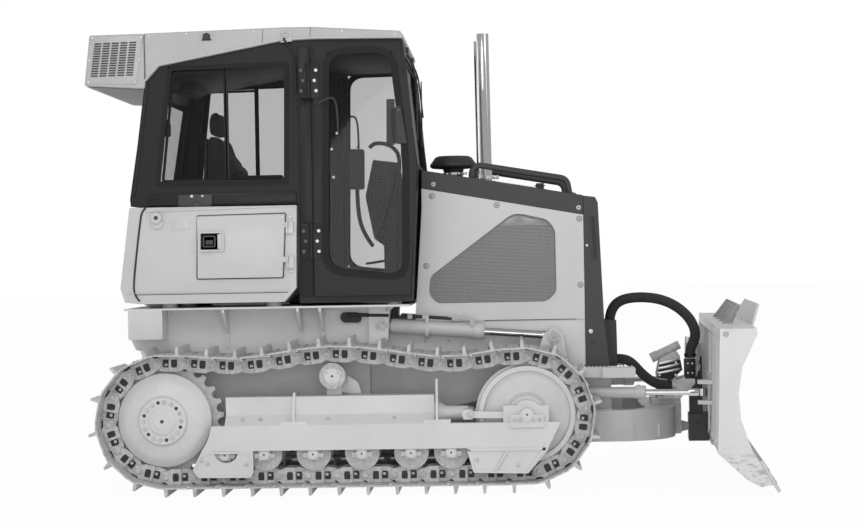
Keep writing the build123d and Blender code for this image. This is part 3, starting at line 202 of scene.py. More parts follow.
class Finish:
    """A node material with a Principled shader, kept in FINISHES under its name."""

    def __init__(self, name):
        self.material = FINISHES[name] = bpy.data.materials.new(name)
        self.material.use_nodes = True
        self.tree = self.material.node_tree
        self.shader = self.tree.nodes["Principled BSDF"]
        self.place = self.node("ShaderNodeTexCoord", out="Object")

    def node(self, kind, settings=(), inputs=(), out=0):
        """Adds a node, with its settings first, and returns one of its outputs."""
        made = self.tree.nodes.new(kind)
        for key, value in dict(settings).items():
            setattr(made, key, value)
        for key, value in dict(inputs).items():
            self.feed(made.inputs[key], value)
        return Socket(self, made.outputs[out])

    def feed(self, target, value):
        if isinstance(value, Socket):
            self.tree.links.new(value.link, target)
        elif hasattr(value, "__len__") and len(value) == 3 and target.type == "RGBA":
            target.default_value = (*value, 1)
        else:
            target.default_value = value

    def noise(self, scale, detail=3.0, stretch=(1, 1, 1)):
        vector = self.node("ShaderNodeMapping", {}, {"Vector": self.place, "Scale": stretch})
        return self.node("ShaderNodeTexNoise", {}, {"Vector": vector, "Scale": scale, "Detail": detail})

    def axis(self, name):
        return self.node("ShaderNodeSeparateXYZ", {}, {0: self.place}, name)

    def mix(self, factor, a, b):
        """Colour a where the factor is 0 and b where it is 1."""
        return self.node("ShaderNodeMix", {"data_type": "RGBA"}, {0: factor, 6: a, 7: b}, 2)

    def bump(self, height, distance, strength=1.0):
        return self.node("ShaderNodeBump", {}, {"Strength": strength, "Distance": distance,
            "Height": height})

    def set(self, **values):
        for key, value in values.items():
            self.feed(self.shader.inputs[key.replace("_", " ")], value)


def shade(colour, factor):
    return tuple(min(1.0, c * factor) for c in colour)


def paint(name, colour, roughness=0.38, coat=0.25, dust=0.10, shine=0.5):
    """Sprayed paint: a slight orange peel, faint clouding and patches of dust."""
    finish = Finish(name)
    cloud = finish.noise(3.2, 4.0)
    peel = finish.noise(160.0, 2.0)
    grime = finish.noise(9.0, 6.0).step(0.50, 0.78) * dust
    base = finish.mix(cloud.step(0.3, 0.7), shade(colour, 0.965), shade(colour, 1.03))
    base = finish.mix(grime, base, shade(colour, 0.72))
    finish.set(Base_Color=base, Roughness=roughness + 0.10 * cloud + 0.25 * grime, Coat_Weight=coat,
        Specular_IOR_Level=shine, Normal=finish.bump(peel, 0.00012, 0.35))


def blade_paint(colour):
    """Blade paint, scoured through in long scratches towards the ground."""
    finish = Finish("blade_paint")
    cloud = finish.noise(3.2, 4.0)
    low = 1.0 - finish.axis("Z").step(0.16, 0.34)
    scratch = finish.noise(48.0, 10.0, (0.5, 1, 1.7)).step(0.50, 0.60) * low
    scuff = finish.noise(60.0, 6.0, (0.2, 1, 1)).step(0.62, 0.72) * 0.25
    base = finish.mix(cloud.step(0.3, 0.7), shade(colour, 0.965), shade(colour, 1.02))
    base = finish.mix(scratch * 0.6, base, shade(colour, 0.42))
    finish.set(Base_Color=finish.mix(scuff, base, shade(colour, 0.8)), Roughness=0.42 + 0.2 * scratch,
        Coat_Weight=0.1, Normal=finish.bump(scratch + 0.2 * cloud, 0.0006, 0.5))


def casting(name, colour, roughness=0.55, worn=0.0):
    """Painted casting: a sandy surface, uneven in tone, that is rubbed darker in patches."""
    finish = Finish(name)
    grain = finish.noise(420.0, 3.0)
    lumps = finish.noise(40.0, 4.0)
    base = finish.mix(lumps.step(0.35, 0.7), shade(colour, 0.86), shade(colour, 1.08))
    rub = finish.noise(14.0, 5.0).step(0.52, 0.64) * worn
    base = finish.mix(rub, base, shade(colour, 0.55))
    finish.set(Base_Color=base, Roughness=roughness + 0.12 * lumps,
        Normal=finish.bump(grain + 0.6 * lumps, 0.0006, 0.5))


def metal(name, grey, roughness, streaks=None, bump=0.0):
    finish = Finish(name)
    cloud = finish.noise(24.0, 3.0, streaks or (1, 1, 1))
    base = finish.mix(cloud, shade((grey,) * 3, 0.9), (grey,) * 3)
    values = dict(Base_Color=base, Metallic=1.0, Roughness=roughness + 0.06 * cloud)
    if bump:
        values["Normal"] = finish.bump(finish.noise(300.0, 2.0, streaks or (1, 1, 1)), bump)
    finish.set(**values)


def plastic(name, colour, roughness, depth=0.0004):
    """Moulded plastic or rubber with a fine grain."""
    finish = Finish(name)
    cloud = finish.noise(6.0, 3.0)
    grain = {"Normal": finish.bump(finish.noise(500.0, 2.0), depth, 0.5)} if depth else {}
    finish.set(Base_Color=finish.mix(cloud, shade(colour, 0.85), shade(colour, 1.25)),
        Roughness=roughness + 0.1 * cloud, **grain)


def cell(u, v, pitch):
    """Distance from the nearest hole's middle, in pitches, on a staggered grid of holes."""
    def half(u, v):
        du = (u / pitch).math("FRACT") - 0.5
        dv = (v / (pitch * 1.732)).math("FRACT") - 0.5
        return (du * du + dv * dv * 3.0).math("SQRT")
    return half(u, v).math("MINIMUM", half(u + pitch / 2, v + pitch * 0.866))


def perforated(name, colour, pitch, hole, across="X", up="Z"):
    """Sheet metal with a staggered pattern of round holes."""
    finish = Finish(name)
    away = cell(finish.axis(across), finish.axis(up), pitch)
    solid = away.step(hole / pitch - 0.05, hole / pitch + 0.05)
    finish.set(Base_Color=finish.mix(solid, shade(colour, 0.5), colour), Roughness=0.5, Alpha=solid,
        Normal=finish.bump(solid, 0.0008, 0.6))


def glass(name, tint):
    """Tinted safety glass that lets light through unbent, so that it needs no thickness."""
    finish = Finish(name)
    finish.set(Base_Color=tint, Roughness=0.03, IOR=1.45)
    clear = finish.node("ShaderNodeBsdfTransparent", {}, {0: tint})
    film = finish.noise(5.0, 3.0)
    sheen = finish.node("ShaderNodeFresnel", {}, {"IOR": 1.45})
    gloss = finish.node("ShaderNodeBsdfGlossy", {}, {"Color": (1.0, 1.0, 1.0),
        "Roughness": 0.02 + 0.02 * film})
    mixed = finish.node("ShaderNodeMixShader", {}, {0: sheen * 0.3, 1: clear, 2: gloss})
    finish.tree.links.new(mixed.link, finish.tree.nodes["Material Output"].inputs["Surface"])


def cloth(name, colour):
    """Woven seat cover."""
    finish = Finish(name)
    warp = (finish.axis("Y") * 1500.0).math("SINE")
    weft = (finish.axis("Z") * 1500.0 + finish.axis("X") * 1500.0).math("SINE")
    weave = warp * weft
    tufts = finish.noise(60.0, 4.0)
    finish.set(Base_Color=finish.mix(tufts, shade(colour, 0.7), shade(colour, 1.4)), Roughness=0.9,
        Sheen_Weight=0.25, Normal=finish.bump(weave + tufts, 0.0006, 0.6))


def sleeve(name, colour):
    """Braided sleeve round a bundle of hoses."""
    finish = Finish(name)
    wound = (finish.axis("X") * 900.0 + finish.axis("Z") * 620.0).math("SINE")
    braid = wound * (finish.axis("Y") * 900.0).math("SINE")
    fuzz = finish.noise(80.0, 4.0)
    finish.set(Base_Color=finish.mix(fuzz, shade(colour, 0.7), shade(colour, 1.3)), Roughness=0.75,
        Normal=finish.bump(braid + fuzz, 0.0012, 0.7))


# ---------------------------------------------------------------- shaping
def side_on(x, z, y):
    return at(x, y, z)


TREES = {}


def seat(node, start, look=(0, 1, 0)):
    """Where a ray from outside first meets a node, and the outward normal there; None if it misses."""
    if node not in TREES:
        mesh = frame["nodes"][node].data
        TREES[node] = BVHTree.FromPolygons([v.co for v in mesh.vertices],
            [p.vertices for p in mesh.polygons])
    look = Vector(look).normalized()
    begin = start if abs(start.y) > 2 or look.x else Vector((start.x, -3, start.z))
    place, normal, _, _ = TREES[node].ray_cast(begin, look)
    if place is None:
        return None
    return place, normal if normal.dot(look) < 0 else -normal


SHARP = math.radians(25)  # edges between faces that turn by more than this are rounded


class Shape:
    """A bmesh being shaped, in millimetres from the sprocket."""

    def __init__(self):
        self.bm = bmesh.new()

    def bar(self, x0, x1, y0, y1, z0, z1, edge=0.0):
        """Rectangular bar between its faces, with its edges rounded."""
        low, high = at(x0, y0, z0), at(x1, y1, z1)
        place = Matrix.Translation((low + high) / 2) @ Matrix.Diagonal((*(high - low), 1))
        made = bmesh.ops.create_cube(self.bm, size=1, matrix=place)["verts"]
        if edge:
            self.round(made, edge)

    def round(self, verts, edge, segments=2):
        """Rounds the sharp edges between some vertices."""
        inside = set(verts)
        sharp = {e for v in inside for e in v.link_edges if e.other_vert(v) in inside
                 and len(e.link_faces) == 2 and e.calc_face_angle(0) > SHARP}
        bmesh.ops.bevel(self.bm, geom=list(sharp), offset=edge / 1000, segments=segments,
            affect="EDGES", profile=0.5, material=-1, clamp_overlap=True)

    def plate(self, places, shift, edge=0.0, segments=2):
        """Plate from a flat outline of places, as thick as the shift."""
        first = [self.bm.verts.new(place) for place in places]
        face = self.bm.faces.new(first)
        made = bmesh.ops.extrude_face_region(self.bm, geom=[face])["geom"]
        ends = [v for v in made if isinstance(v, bmesh.types.BMVert)]
        bmesh.ops.translate(self.bm, verts=ends, vec=shift)
        if edge:
            self.round(first + ends, edge, segments)

    def outline(self, points, extent, edge=0.0):
        """Plate: an outline of X and Z pairs, from the first Y to the last of extent."""
        shift = at(0, extent[1], 0) - at(0, extent[0], 0)
        self.plate([at(x, extent[0], z) for x, z in points], shift, edge)

    def turn(self, profile, centre, axis=(0, 1, 0), steps=32):
        """Turned piece: a profile of (radius, distance along the axis) spun about it."""
        axis = Vector(axis).normalized()
        side = axis.orthogonal().normalized()
        centre = Vector(centre)
        line = [self.bm.verts.new(centre + axis * (b / 1000) + side * (a / 1000)) for a, b in profile]
        edges = [self.bm.edges.new(pair) for pair in zip(line, line[1:])]
        bmesh.ops.spin(self.bm, geom=line + edges, cent=centre, axis=axis, angle=2 * math.pi,
            steps=steps, use_merge=True, use_duplicate=False)
        bmesh.ops.remove_doubles(self.bm, verts=self.bm.verts, dist=1e-6)

    def disc(self, centre, radius, top, sides, axis=OUT, foot=0):
        """Round plate between its foot and its top, along an axis."""
        self.turn(((0, foot), (radius, foot), (radius, top), (0, top)), centre, axis, sides)

    def knob(self, centre, radius, shoulder, crown, top, sides, axis=OUT, foot=-1):
        """Disc whose rim slopes from its shoulder up to the crown's radius."""
        profile = ((0, foot), (radius, foot), (radius, shoulder), (crown, top), (0, top))
        self.turn(profile, centre, axis, sides)

    def hoop(self, centre, inner, outer, low, high, sides, axis=UP):
        """Flat band round an axis, between two radii."""
        self.turn(((inner, low), (outer, low), (outer, high), (inner, high), (inner, low)), centre,
            axis, sides)

    def stud(self, centre, radius, height, axis=OUT, sides=6, chamfer=0.2):
        """Bolt head or round button that stands on a face."""
        keep = 1 - chamfer
        self.knob(centre, radius, height * keep, radius * keep, height, sides, axis)

    def studs(self, y, pairs, radius, height, **looks):
        """Studs at X and Z pairs on one upright plane."""
        for x, z in pairs:
            self.stud(at(x, y, z), radius, height, **looks)

    def seated(self, node, pairs, radius, height, sides=6):
        """Bolt heads that sit on a node's surface, where rays through X and Z pairs meet it."""
        for x, z in pairs:
            hit = seat(node, at(x, 0, z))
            if hit:
                self.stud(hit[0], radius, height, hit[1], sides)

    def ring(self, points, extent, width, corner, place=side_on):
        """Frame of a width inside an outline with rounded corners, as deep as its extent."""
        flat = bmesh.new()
        flat.faces.new([flat.verts.new(place(a, b, extent[0])) for a, b in points])
        bmesh.ops.bevel(flat, geom=flat.verts[:], offset=corner / 1000, segments=5, affect="VERTICES",
            profile=0.5, material=-1)
        bmesh.ops.inset_region(flat, faces=flat.faces[:], thickness=width / 1000, use_even_offset=True,
            use_boundary=True)
        inner = max(flat.faces, key=lambda face: len(face.verts))
        bmesh.ops.delete(flat, geom=[inner], context="FACES_ONLY")
        made = bmesh.ops.extrude_face_region(flat, geom=flat.faces[:])["geom"]
        shift = place(0, 0, extent[1]) - place(0, 0, extent[0])
        bmesh.ops.translate(flat, verts=[v for v in made if isinstance(v, bmesh.types.BMVert)],
            vec=shift)
        mesh = bpy.data.meshes.new("ring")
        flat.to_mesh(mesh)
        flat.free()
        self.add(mesh)
        bpy.data.meshes.remove(mesh)

    def twin(self):
        """Mirror image on the machine's other side, as a shape of its own."""
        other = Shape()
        mesh = bpy.data.meshes.new("twin")
        self.bm.to_mesh(mesh)
        other.add(mesh, Matrix.Diagonal((1, -1, 1, 1)))
        bpy.data.meshes.remove(mesh)
        return other

    def tube(self, places, radius):
        """Round bar through some places, with its bends rounded."""
        self.add(curve_mesh(places, radius))

    def add(self, mesh, matrix=Matrix.Identity(4)):
        """Adds a copy of a mesh at a place."""
        before = len(self.bm.verts)
        self.bm.from_mesh(mesh)
        self.bm.verts.ensure_lookup_table()
        bmesh.ops.transform(self.bm, matrix=matrix, verts=self.bm.verts[before:])

    def mirrored(self):
        """Adds the same on the machine's other side."""
        made = bmesh.ops.duplicate(self.bm,
            geom=self.bm.verts[:] + self.bm.edges[:] + self.bm.faces[:])["geom"]
        verts = [v for v in made if isinstance(v, bmesh.types.BMVert)]
        bmesh.ops.scale(self.bm, vec=(1, -1, 1), verts=verts)
        return self

    def on_blade(self):
        """Turns what was drawn on the straight blade to the blade's angle."""
        bmesh.ops.rotate(self.bm, cent=BALL, matrix=BLADE_TURN.to_3x3(), verts=self.bm.verts)
        return self

    def mesh(self, name):
        bmesh.ops.recalc_face_normals(self.bm, faces=self.bm.faces)
        made = bpy.data.meshes.new(name)
        self.bm.to_mesh(made)
        self.bm.free()
        return made

    def piece(self, name, finish, body="machine", slot=None, angle=32, stands_for=()):
        """Places the finished shape, with its faces outwards."""
        place_piece(self.mesh(name), name, finish, body, angle, 0, stands_for)


def place_piece(mesh, name, finish, body, angle=32, edge=0.0, stands_for=()):
    """Gives a mesh its material, smooth shading up to an angle, softened edges and a body."""
    mesh.materials.clear()
    mesh.materials.append(FINISHES[finish])
    mesh.shade_smooth()
    mesh.set_sharp_from_angle(angle=math.radians(angle))
    made = bpy.data.objects.new(name, mesh)
    bpy.context.scene.collection.objects.link(made)
    if edge:
        bevel = made.modifiers.new("edges", "BEVEL")
        bevel.width, bevel.segments, bevel.limit_method = edge, 2, "ANGLE"
        bevel.angle_limit, bevel.harden_normals = math.radians(32), False
    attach(made, body)
    if stands_for:
        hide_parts(*stands_for)
    return made


def shapes(count):
    """As many empty shapes."""
    return [Shape() for _ in range(count)]


def curve_mesh(places, radius=0, steps=12):
    """Mesh of a round bar along a smooth line, or the bare line where its radius is 0."""
    line = bpy.data.curves.new("line", "CURVE")
    line.dimensions, line.bevel_depth, line.bevel_resolution = "3D", radius / 1000, max(1, steps // 4)
    line.use_fill_caps = True
    spline = line.splines.new("NURBS")
    spline.points.add(len(places) - 1)
    for point, place in zip(spline.points, places):
        point.co = (*place, 1)
    spline.order_u, spline.use_endpoint_u, spline.resolution_u = 3, True, 6
    holder = bpy.data.objects.new("line", line)
    mesh = bpy.data.meshes.new_from_object(holder)
    bpy.data.objects.remove(holder)
    bpy.data.curves.remove(line)
    return mesh


def on_both(shape, name, finish, body):
    """A shape on the right-hand one of two like bodies, and its mirror image on the left-hand one."""
    twin = shape.twin()
    shape.piece(name + "_right", finish, body + "_right")
    twin.piece(name + "_left", finish, body + "_left")


def mirrored_pieces(*rows):
    """Places shapes on both sides of the machine: a shape, its name and its finish in each row."""
    for shape, name, finish in rows:
        shape.mirrored().piece(name, finish)


def dressed(node, finish, edge):
    """A merged copy of a CAD node with softened edges, which stands for it."""
    source = frame["nodes"][node]
    bm = bmesh.new()
    bm.from_mesh(source.data)
    bmesh.ops.remove_doubles(bm, verts=bm.verts, dist=2e-6)
    bmesh.ops.dissolve_limit(bm, angle_limit=math.radians(0.5), verts=bm.verts, edges=bm.edges)
    mesh = bpy.data.meshes.new(node + "_skin")
    bm.to_mesh(mesh)
    bm.free()
    place_piece(mesh, node + "_skin", finish, source["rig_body"], edge=edge, stands_for=(node,))


# ---------------------------------------------------------------- stage
class DOZER_OT_stage(bpy.types.Operator):
    """Makes the camera, the pale floor and the light"""
    bl_idname = "dozer.stage"
    bl_label = "Stage"

    def execute(self, context):
        values, scene = context.scene.dozer_stage, context.scene
        camera = bpy.data.objects.new("camera", bpy.data.cameras.new("camera"))
        camera.data.lens, camera.data.sensor_width = values.lens, 36
        camera.data.clip_end = 200
        camera.location = at(2083, -11706, 1422)
        camera.rotation_euler = [math.radians(turn) for turn in (89.6723, 1.0400, 2.4104)]
        scene.collection.objects.link(camera)
        scene.camera = camera
        scene.view_settings.view_transform = "Standard"

        shape = Shape()
        bmesh.ops.create_grid(shape.bm, x_segments=1, y_segments=1, size=60)
        floor = bpy.data.objects.new("floor", shape.mesh("floor"))
        finish = Finish("floor")
        rays = [finish.node("ShaderNodeLightPath", {}, {}, name) for name in ("Is Camera Ray",
            "Is Glossy Ray", "Is Transmission Ray")]
        seen = rays[0].math("MAXIMUM", rays[1]).math("MAXIMUM", rays[2])
        finish.set(Base_Color=tuple(values.floor), Roughness=0.95, Emission_Color=(1.0, 1.0, 1.0))
        # painted shadow: the floor's glow is taken away over a box round the ground between the tracks, so
        # that this ground shows the machine's shade
        away = ((finish.axis("X") + 0.6) / 1.15).math("ABSOLUTE").math("MAXIMUM",
            ((finish.axis("Y") - 0.6) / 1.15).math("ABSOLUTE"))
        glow = finish.node("ShaderNodeEmission", {}, {"Color": (1.0, 1.0, 1.0), "Strength": 1.0})
        mixed = finish.node("ShaderNodeMixShader", {}, {0: seen * away.step(0.9, 1.0) * 0.96,
            1: Socket(finish, finish.shader.outputs[0]), 2: glow})
        finish.tree.links.new(mixed.link, finish.tree.nodes["Material Output"].inputs["Surface"])
        floor.data.materials.append(finish.material)
        scene.collection.objects.link(floor)

        world = bpy.data.worlds.new("sky")
        scene.world = world
        world.use_nodes = True
        nodes, links = world.node_tree.nodes, world.node_tree.links
        path, sky = nodes.new("ShaderNodeLightPath"), nodes["Background"]
        most = nodes.new("ShaderNodeMath")
        most.operation = "MAXIMUM"
        links.new(path.outputs["Is Camera Ray"], most.inputs[0])
        links.new(path.outputs["Is Transmission Ray"], most.inputs[1])
        strength, shine = nodes.new("ShaderNodeMapRange"), nodes.new("ShaderNodeMapRange")
        shine.inputs["To Min"].default_value = values.sky
        shine.inputs["To Max"].default_value = values.shine
        strength.inputs["To Max"].default_value = 1.0
        links.new(path.outputs["Is Glossy Ray"], shine.inputs["Value"])
        links.new(shine.outputs[0], strength.inputs["To Min"])
        links.new(most.outputs[0], strength.inputs["Value"])
        links.new(strength.outputs[0], sky.inputs["Strength"])
        sky.inputs["Color"].default_value = (1, 1, 1, 1)

        for name, place, width, power in (("key", (-2.2, -8.5, 6.5), 4.5, values.key),
                ("low", (0.5, -10.0, 1.2), 5.0, values.key), ("fill", (6.5, -6.0, 4.0), 3.5,
                values.key * 0.45), ("rear", (-4.0, 7.0, 6.0), 4.0, values.key * 0.4)):
            light = bpy.data.objects.new(name, bpy.data.lights.new(name, "AREA"))
            light.data.energy, light.data.shape, light.data.size = power, "DISK", width
            light.location = place
            light.rotation_euler = (Vector((0.2, 0, 1.0)) - Vector(place)).to_track_quat("-Z", "Y").to_euler()
            scene.collection.objects.link(light)
        return {"FINISHED"}


class DOZER_OT_finishes(bpy.types.Operator):
    """Makes the machine's materials from the paint colours"""
    bl_idname = "dozer.finishes"
    bl_label = "Finishes"

    def execute(self, context):
        colours = context.scene.dozer_paint
        paint("pale_paint", tuple(colours.pale))
        paint("pale_low", shade(colours.pale, 0.92), 0.45, 0.15, 0.2)
        blade_paint(tuple(colours.blade))
        paint("roof_paint", shade(colours.pale, 0.85))
        paint("dark_paint", tuple(colours.dark), 0.5, 0.05, shine=0.35)
        paint("black_paint", tuple(colours.black), 0.42, 0.05, 0.05, shine=0.3)
        casting("cast_paint", tuple(colours.cast), 0.5, 0.25)
        casting("track_steel", shade(colours.cast, 1.0), 0.55, 0.35)
        casting("engine_grey", (0.12, 0.12, 0.12), 0.7)
        # the streaks, long along Z, in both chromes are painted reflection bands
        metal("chrome", 0.55, 0.08, (1, 1, 0.1))
        metal("stack_chrome", 0.62, 0.06, (1, 1, 0.1))
        metal("zinc", 0.62, 0.35)
        metal("worn_steel", 0.55, 0.42, (0.2, 1, 3), 0.0002)
        plastic("rubber", tuple(colours.rubber), 0.55)
        plastic("black_plastic", (0.03, 0.03, 0.03), 0.45, depth=0)
        plastic("dark_plastic", (0.045, 0.045, 0.045), 0.5, depth=0)
        perforated("grille_mesh", (0.36, 0.36, 0.36), 0.010, 0.0033)
        perforated("perforated_sheet", (0.30, 0.30, 0.30), 0.014, 0.004, "X", "Y")
        glass("tinted_glass", (colours.glass[0],) * 3)
        sleeve("hose_sleeve", (0.028, 0.028, 0.028))
        plastic("seal", (0.005, 0.005, 0.005), 0.7, depth=0)
        plastic("cab_trim", (0.014, 0.014, 0.014), 0.6, depth=0)
        # painted light: the pale paint made 1.14 times brighter for the hull and undercarriage, which stand
        # in shade under the deck and fenders
        paint("pale_paint_painted_light", shade(colours.pale, 1.14), 0.45, 0.15, 0.15)
        # painted shade: the castings' colour darkened for the spill guard's gussets, which stand in shadow
        casting("painted_shade_cast", shade(colours.cast, 0.55))
        cloth("seat_fabric", (0.045, 0.045, 0.045))
        return {"FINISHED"}


# finish, rounding in soft edges, and the nodes that have them
BODYWORK = (
    ("roof_paint", 5, "roof"), ("roof_paint", 3, "roof_housing"),
    ("pale_paint", 1, "side_panels"), ("pale_paint", 4, "fenders"), ("pale_paint", 2, "rear_panel"),
    ("pale_paint", 1, "service_door_right service_door_left"), ("pale_paint", 2, "c_frame"),
    ("pale_paint", 0.5, "angle_steps"),
    ("pale_paint", 1, "lift_barrel_right lift_barrel_left"),
    ("pale_paint", 1, "angle_barrel_right angle_barrel_left tilt_barrel"),
    # the hull, final drives, idlers and track frames take the brightened pale paint, as painted light
    ("pale_paint_painted_light", 1.5, "main_frame"), ("pale_paint_painted_light", 2, "final_drives"), ("pale_paint_painted_light", 1, "idlers"),
    ("pale_paint_painted_light", 2, "track_frame_right track_frame_left"),
    ("blade_paint", 1.5, "blade"),
    ("dark_paint", 2, "hood"), ("dark_paint", 3, "radiator_guard"),
    ("dark_paint", 0, "front_grille handrails"),
    ("dark_paint", 2, "ball_block"),
    ("black_paint", 2, "cab_frame cab_door_right cab_door_left"),
    ("cast_paint", 1, "hose_manifold sprockets rollers_right rollers_left"),
    ("cast_paint", 1, "angle_cross_right angle_cross_left"),
    ("chrome", 0, "lift_rod_right lift_rod_left angle_rod_right angle_rod_left tilt_rod"),
    ("stack_chrome", 0, "exhaust_stack"),
    ("black_plastic", 1, "precleaner"), ("cab_trim", 4, "console"), ("engine_grey", 4, "engine_block"),
    ("worn_steel", 1, "cutting_edge"), ("grille_mesh", 0, "side_grilles"),
    ("tinted_glass", 0, "cab_glass door_glass_right door_glass_left"),
)


class DOZER_OT_bodywork(bpy.types.Operator):
    """Softens the edges of the machine's sheet metal and castings and gives each its finish"""
    bl_idname = "dozer.bodywork"
    bl_label = "Bodywork"

    def execute(self, context):
        edge = context.scene.dozer_paint.soft_edge
        for finish, width, nodes in BODYWORK:
            for node in nodes.split():
                dressed(node, finish, width * edge)
        return {"FINISHED"}


# the places of one chain's pins, from the one under the sprocket and round its back
CHAIN = [
    (0.0, 0.104), (-0.1652, 0.1462), (-0.29, 0.2624), (-0.3438, 0.4242), (-0.3135, 0.592),
    (-0.2065, 0.7247), (-0.0489, 0.7899), (0.1231, 0.7891), (0.2948, 0.7746), (0.4669, 0.7676),
    (0.6382, 0.7847), (0.8082, 0.8124), (0.9794, 0.8316), (1.1515, 0.8285), (1.3226, 0.8082),
    (1.4929, 0.7818), (1.6639, 0.7612), (1.8356, 0.7687), (2.0058, 0.7953), (2.1778, 0.804),
    (2.343, 0.7616), (2.4686, 0.6461), (2.5246, 0.485), (2.4979, 0.3166), (2.3947, 0.1807),
    (2.2396, 0.1098), (2.0676, 0.104), (1.8953, 0.104), (1.723, 0.104), (1.5507, 0.104),
    (1.3784, 0.104), (1.2061, 0.104), (1.0338, 0.104), (0.8615, 0.104), (0.6892, 0.104),
    (0.5169, 0.104), (0.3446, 0.104), (0.1723, 0.104),
]


class DOZER_OT_chains(bpy.types.Operator):
    """Builds both track chains from one link with its shoe, pin and bolts"""
    bl_idname = "dozer.chains"
    bl_label = "Track chains"

    @staticmethod
    def flat(shape, points, y0, y1, edge=0.0):
        """Plate in a link's own frame: x along the chain, z out from the pins, in millimetres."""
        shape.plate([(x / 1000, y0 / 1000, z / 1000) for x, z in points], (0, (y1 - y0) / 1000, 0),
            edge, 1)

    def execute(self, context):
        sizes = context.scene.dozer_track
        half, sole = sizes.width * 500, sizes.sole * 1000
        top = sole + sizes.grouser * 1000
        shoe = Shape()
        self.flat(shoe, ((4, sole - 9), (4, sole - 2), (7, sole), (138, sole), (142, top - 3),
            (146, top), (154, top), (158, top - 3), (162, sole), (176, sole - 2), (196, sole - 10),
            (201, sole - 17), (194, sole - 19), (172, sole - 11)), -half, half, 0.8)
        shoe_mesh = shoe.mesh("shoe")
        link = Shape()
        for side in (-1, 1):
            # the rear end stands inside the front end of the next link
            for inner, outer, points in ((38, 60, ((-29, 12), (-29, -14), (-18, -30), (10, -40),
                    (40, -50), (86, -50), (96, -46), (96, 46), (22, 46), (4, 30), (-22, 26))), (54, 77,
                    ((78, 46), (78, -50), (134, -50), (160, -40), (190, -30), (201, -14), (201, 12),
                    (194, 26), (176, 31), (158, 46)))):
                self.flat(link, points, side * inner, side * outer, 2.0)
            for x in (0.062, 0.113):
                # nut in its window
                link.disc((x, side * 0.0665, -0.008), 10, 8, 6, UP, foot=-6)
        # pin and bushing
        link.turn(((0, -88), (14, -88), (17, -85), (17, 85), (14, 88), (0, 88)), (0, 0, 0), (0, 1, 0),
            14)
        link.disc((0, 0, 0), 26, 37, 14, (0, 1, 0), foot=-37)
        link_mesh = link.mesh("link")
        # painted shade: dark plates, in the rubber finish, fill the links' windows behind the nuts
        window_painted_shade = Shape()
        for side in (-1, 1):
            for x in (58, 112):
                self.flat(window_painted_shade, ((x - 19, -4), (x - 15, -24), (x + 15, -24), (x + 19, -4),
                    (x + 17, 24), (x - 17, 24)), side * 60.2 if x < 80 else side * 77.2,
                    side * 61 if x < 80 else side * 78, 0)
        window_mesh = window_painted_shade.mesh("window")
        bolts = Shape()
        for x in (48, 122):
            for side in (-1, 1):
                bolts.knob((x / 1000, side * 0.057, sole / 1000), 13, 8, 10, 10, 6, UP)
        bolt_mesh = bolts.mesh("bolts")
        for label, side in SIDES.items():
            parts = {"shoes": (shoe_mesh, "track_steel"), "links": (link_mesh, "track_steel"),
                "window_painted_shade": (window_mesh, "rubber"), "bolts": (bolt_mesh, "zinc")}
            for name, (mesh, finish) in parts.items():
                shape = Shape()
                for i, (x, z) in enumerate(CHAIN):
                    after = CHAIN[(i + 1) % len(CHAIN)]
                    along = Vector((after[0] - x, 0, after[1] - z)).normalized()
                    turn = Matrix((along, (0, 1, 0), (-along.z, 0, along.x))).transposed().to_4x4()
                    shape.add(mesh, Matrix.Translation((x + DRIVE_X, side * TRACK_Y, z)) @ turn)
                stands = ("track_" + label,) if name == "shoes" else ()
                shape.piece(f"{name}_{label}", finish, "machine", "track_steel", 25, stands)
        return {"FINISHED"}


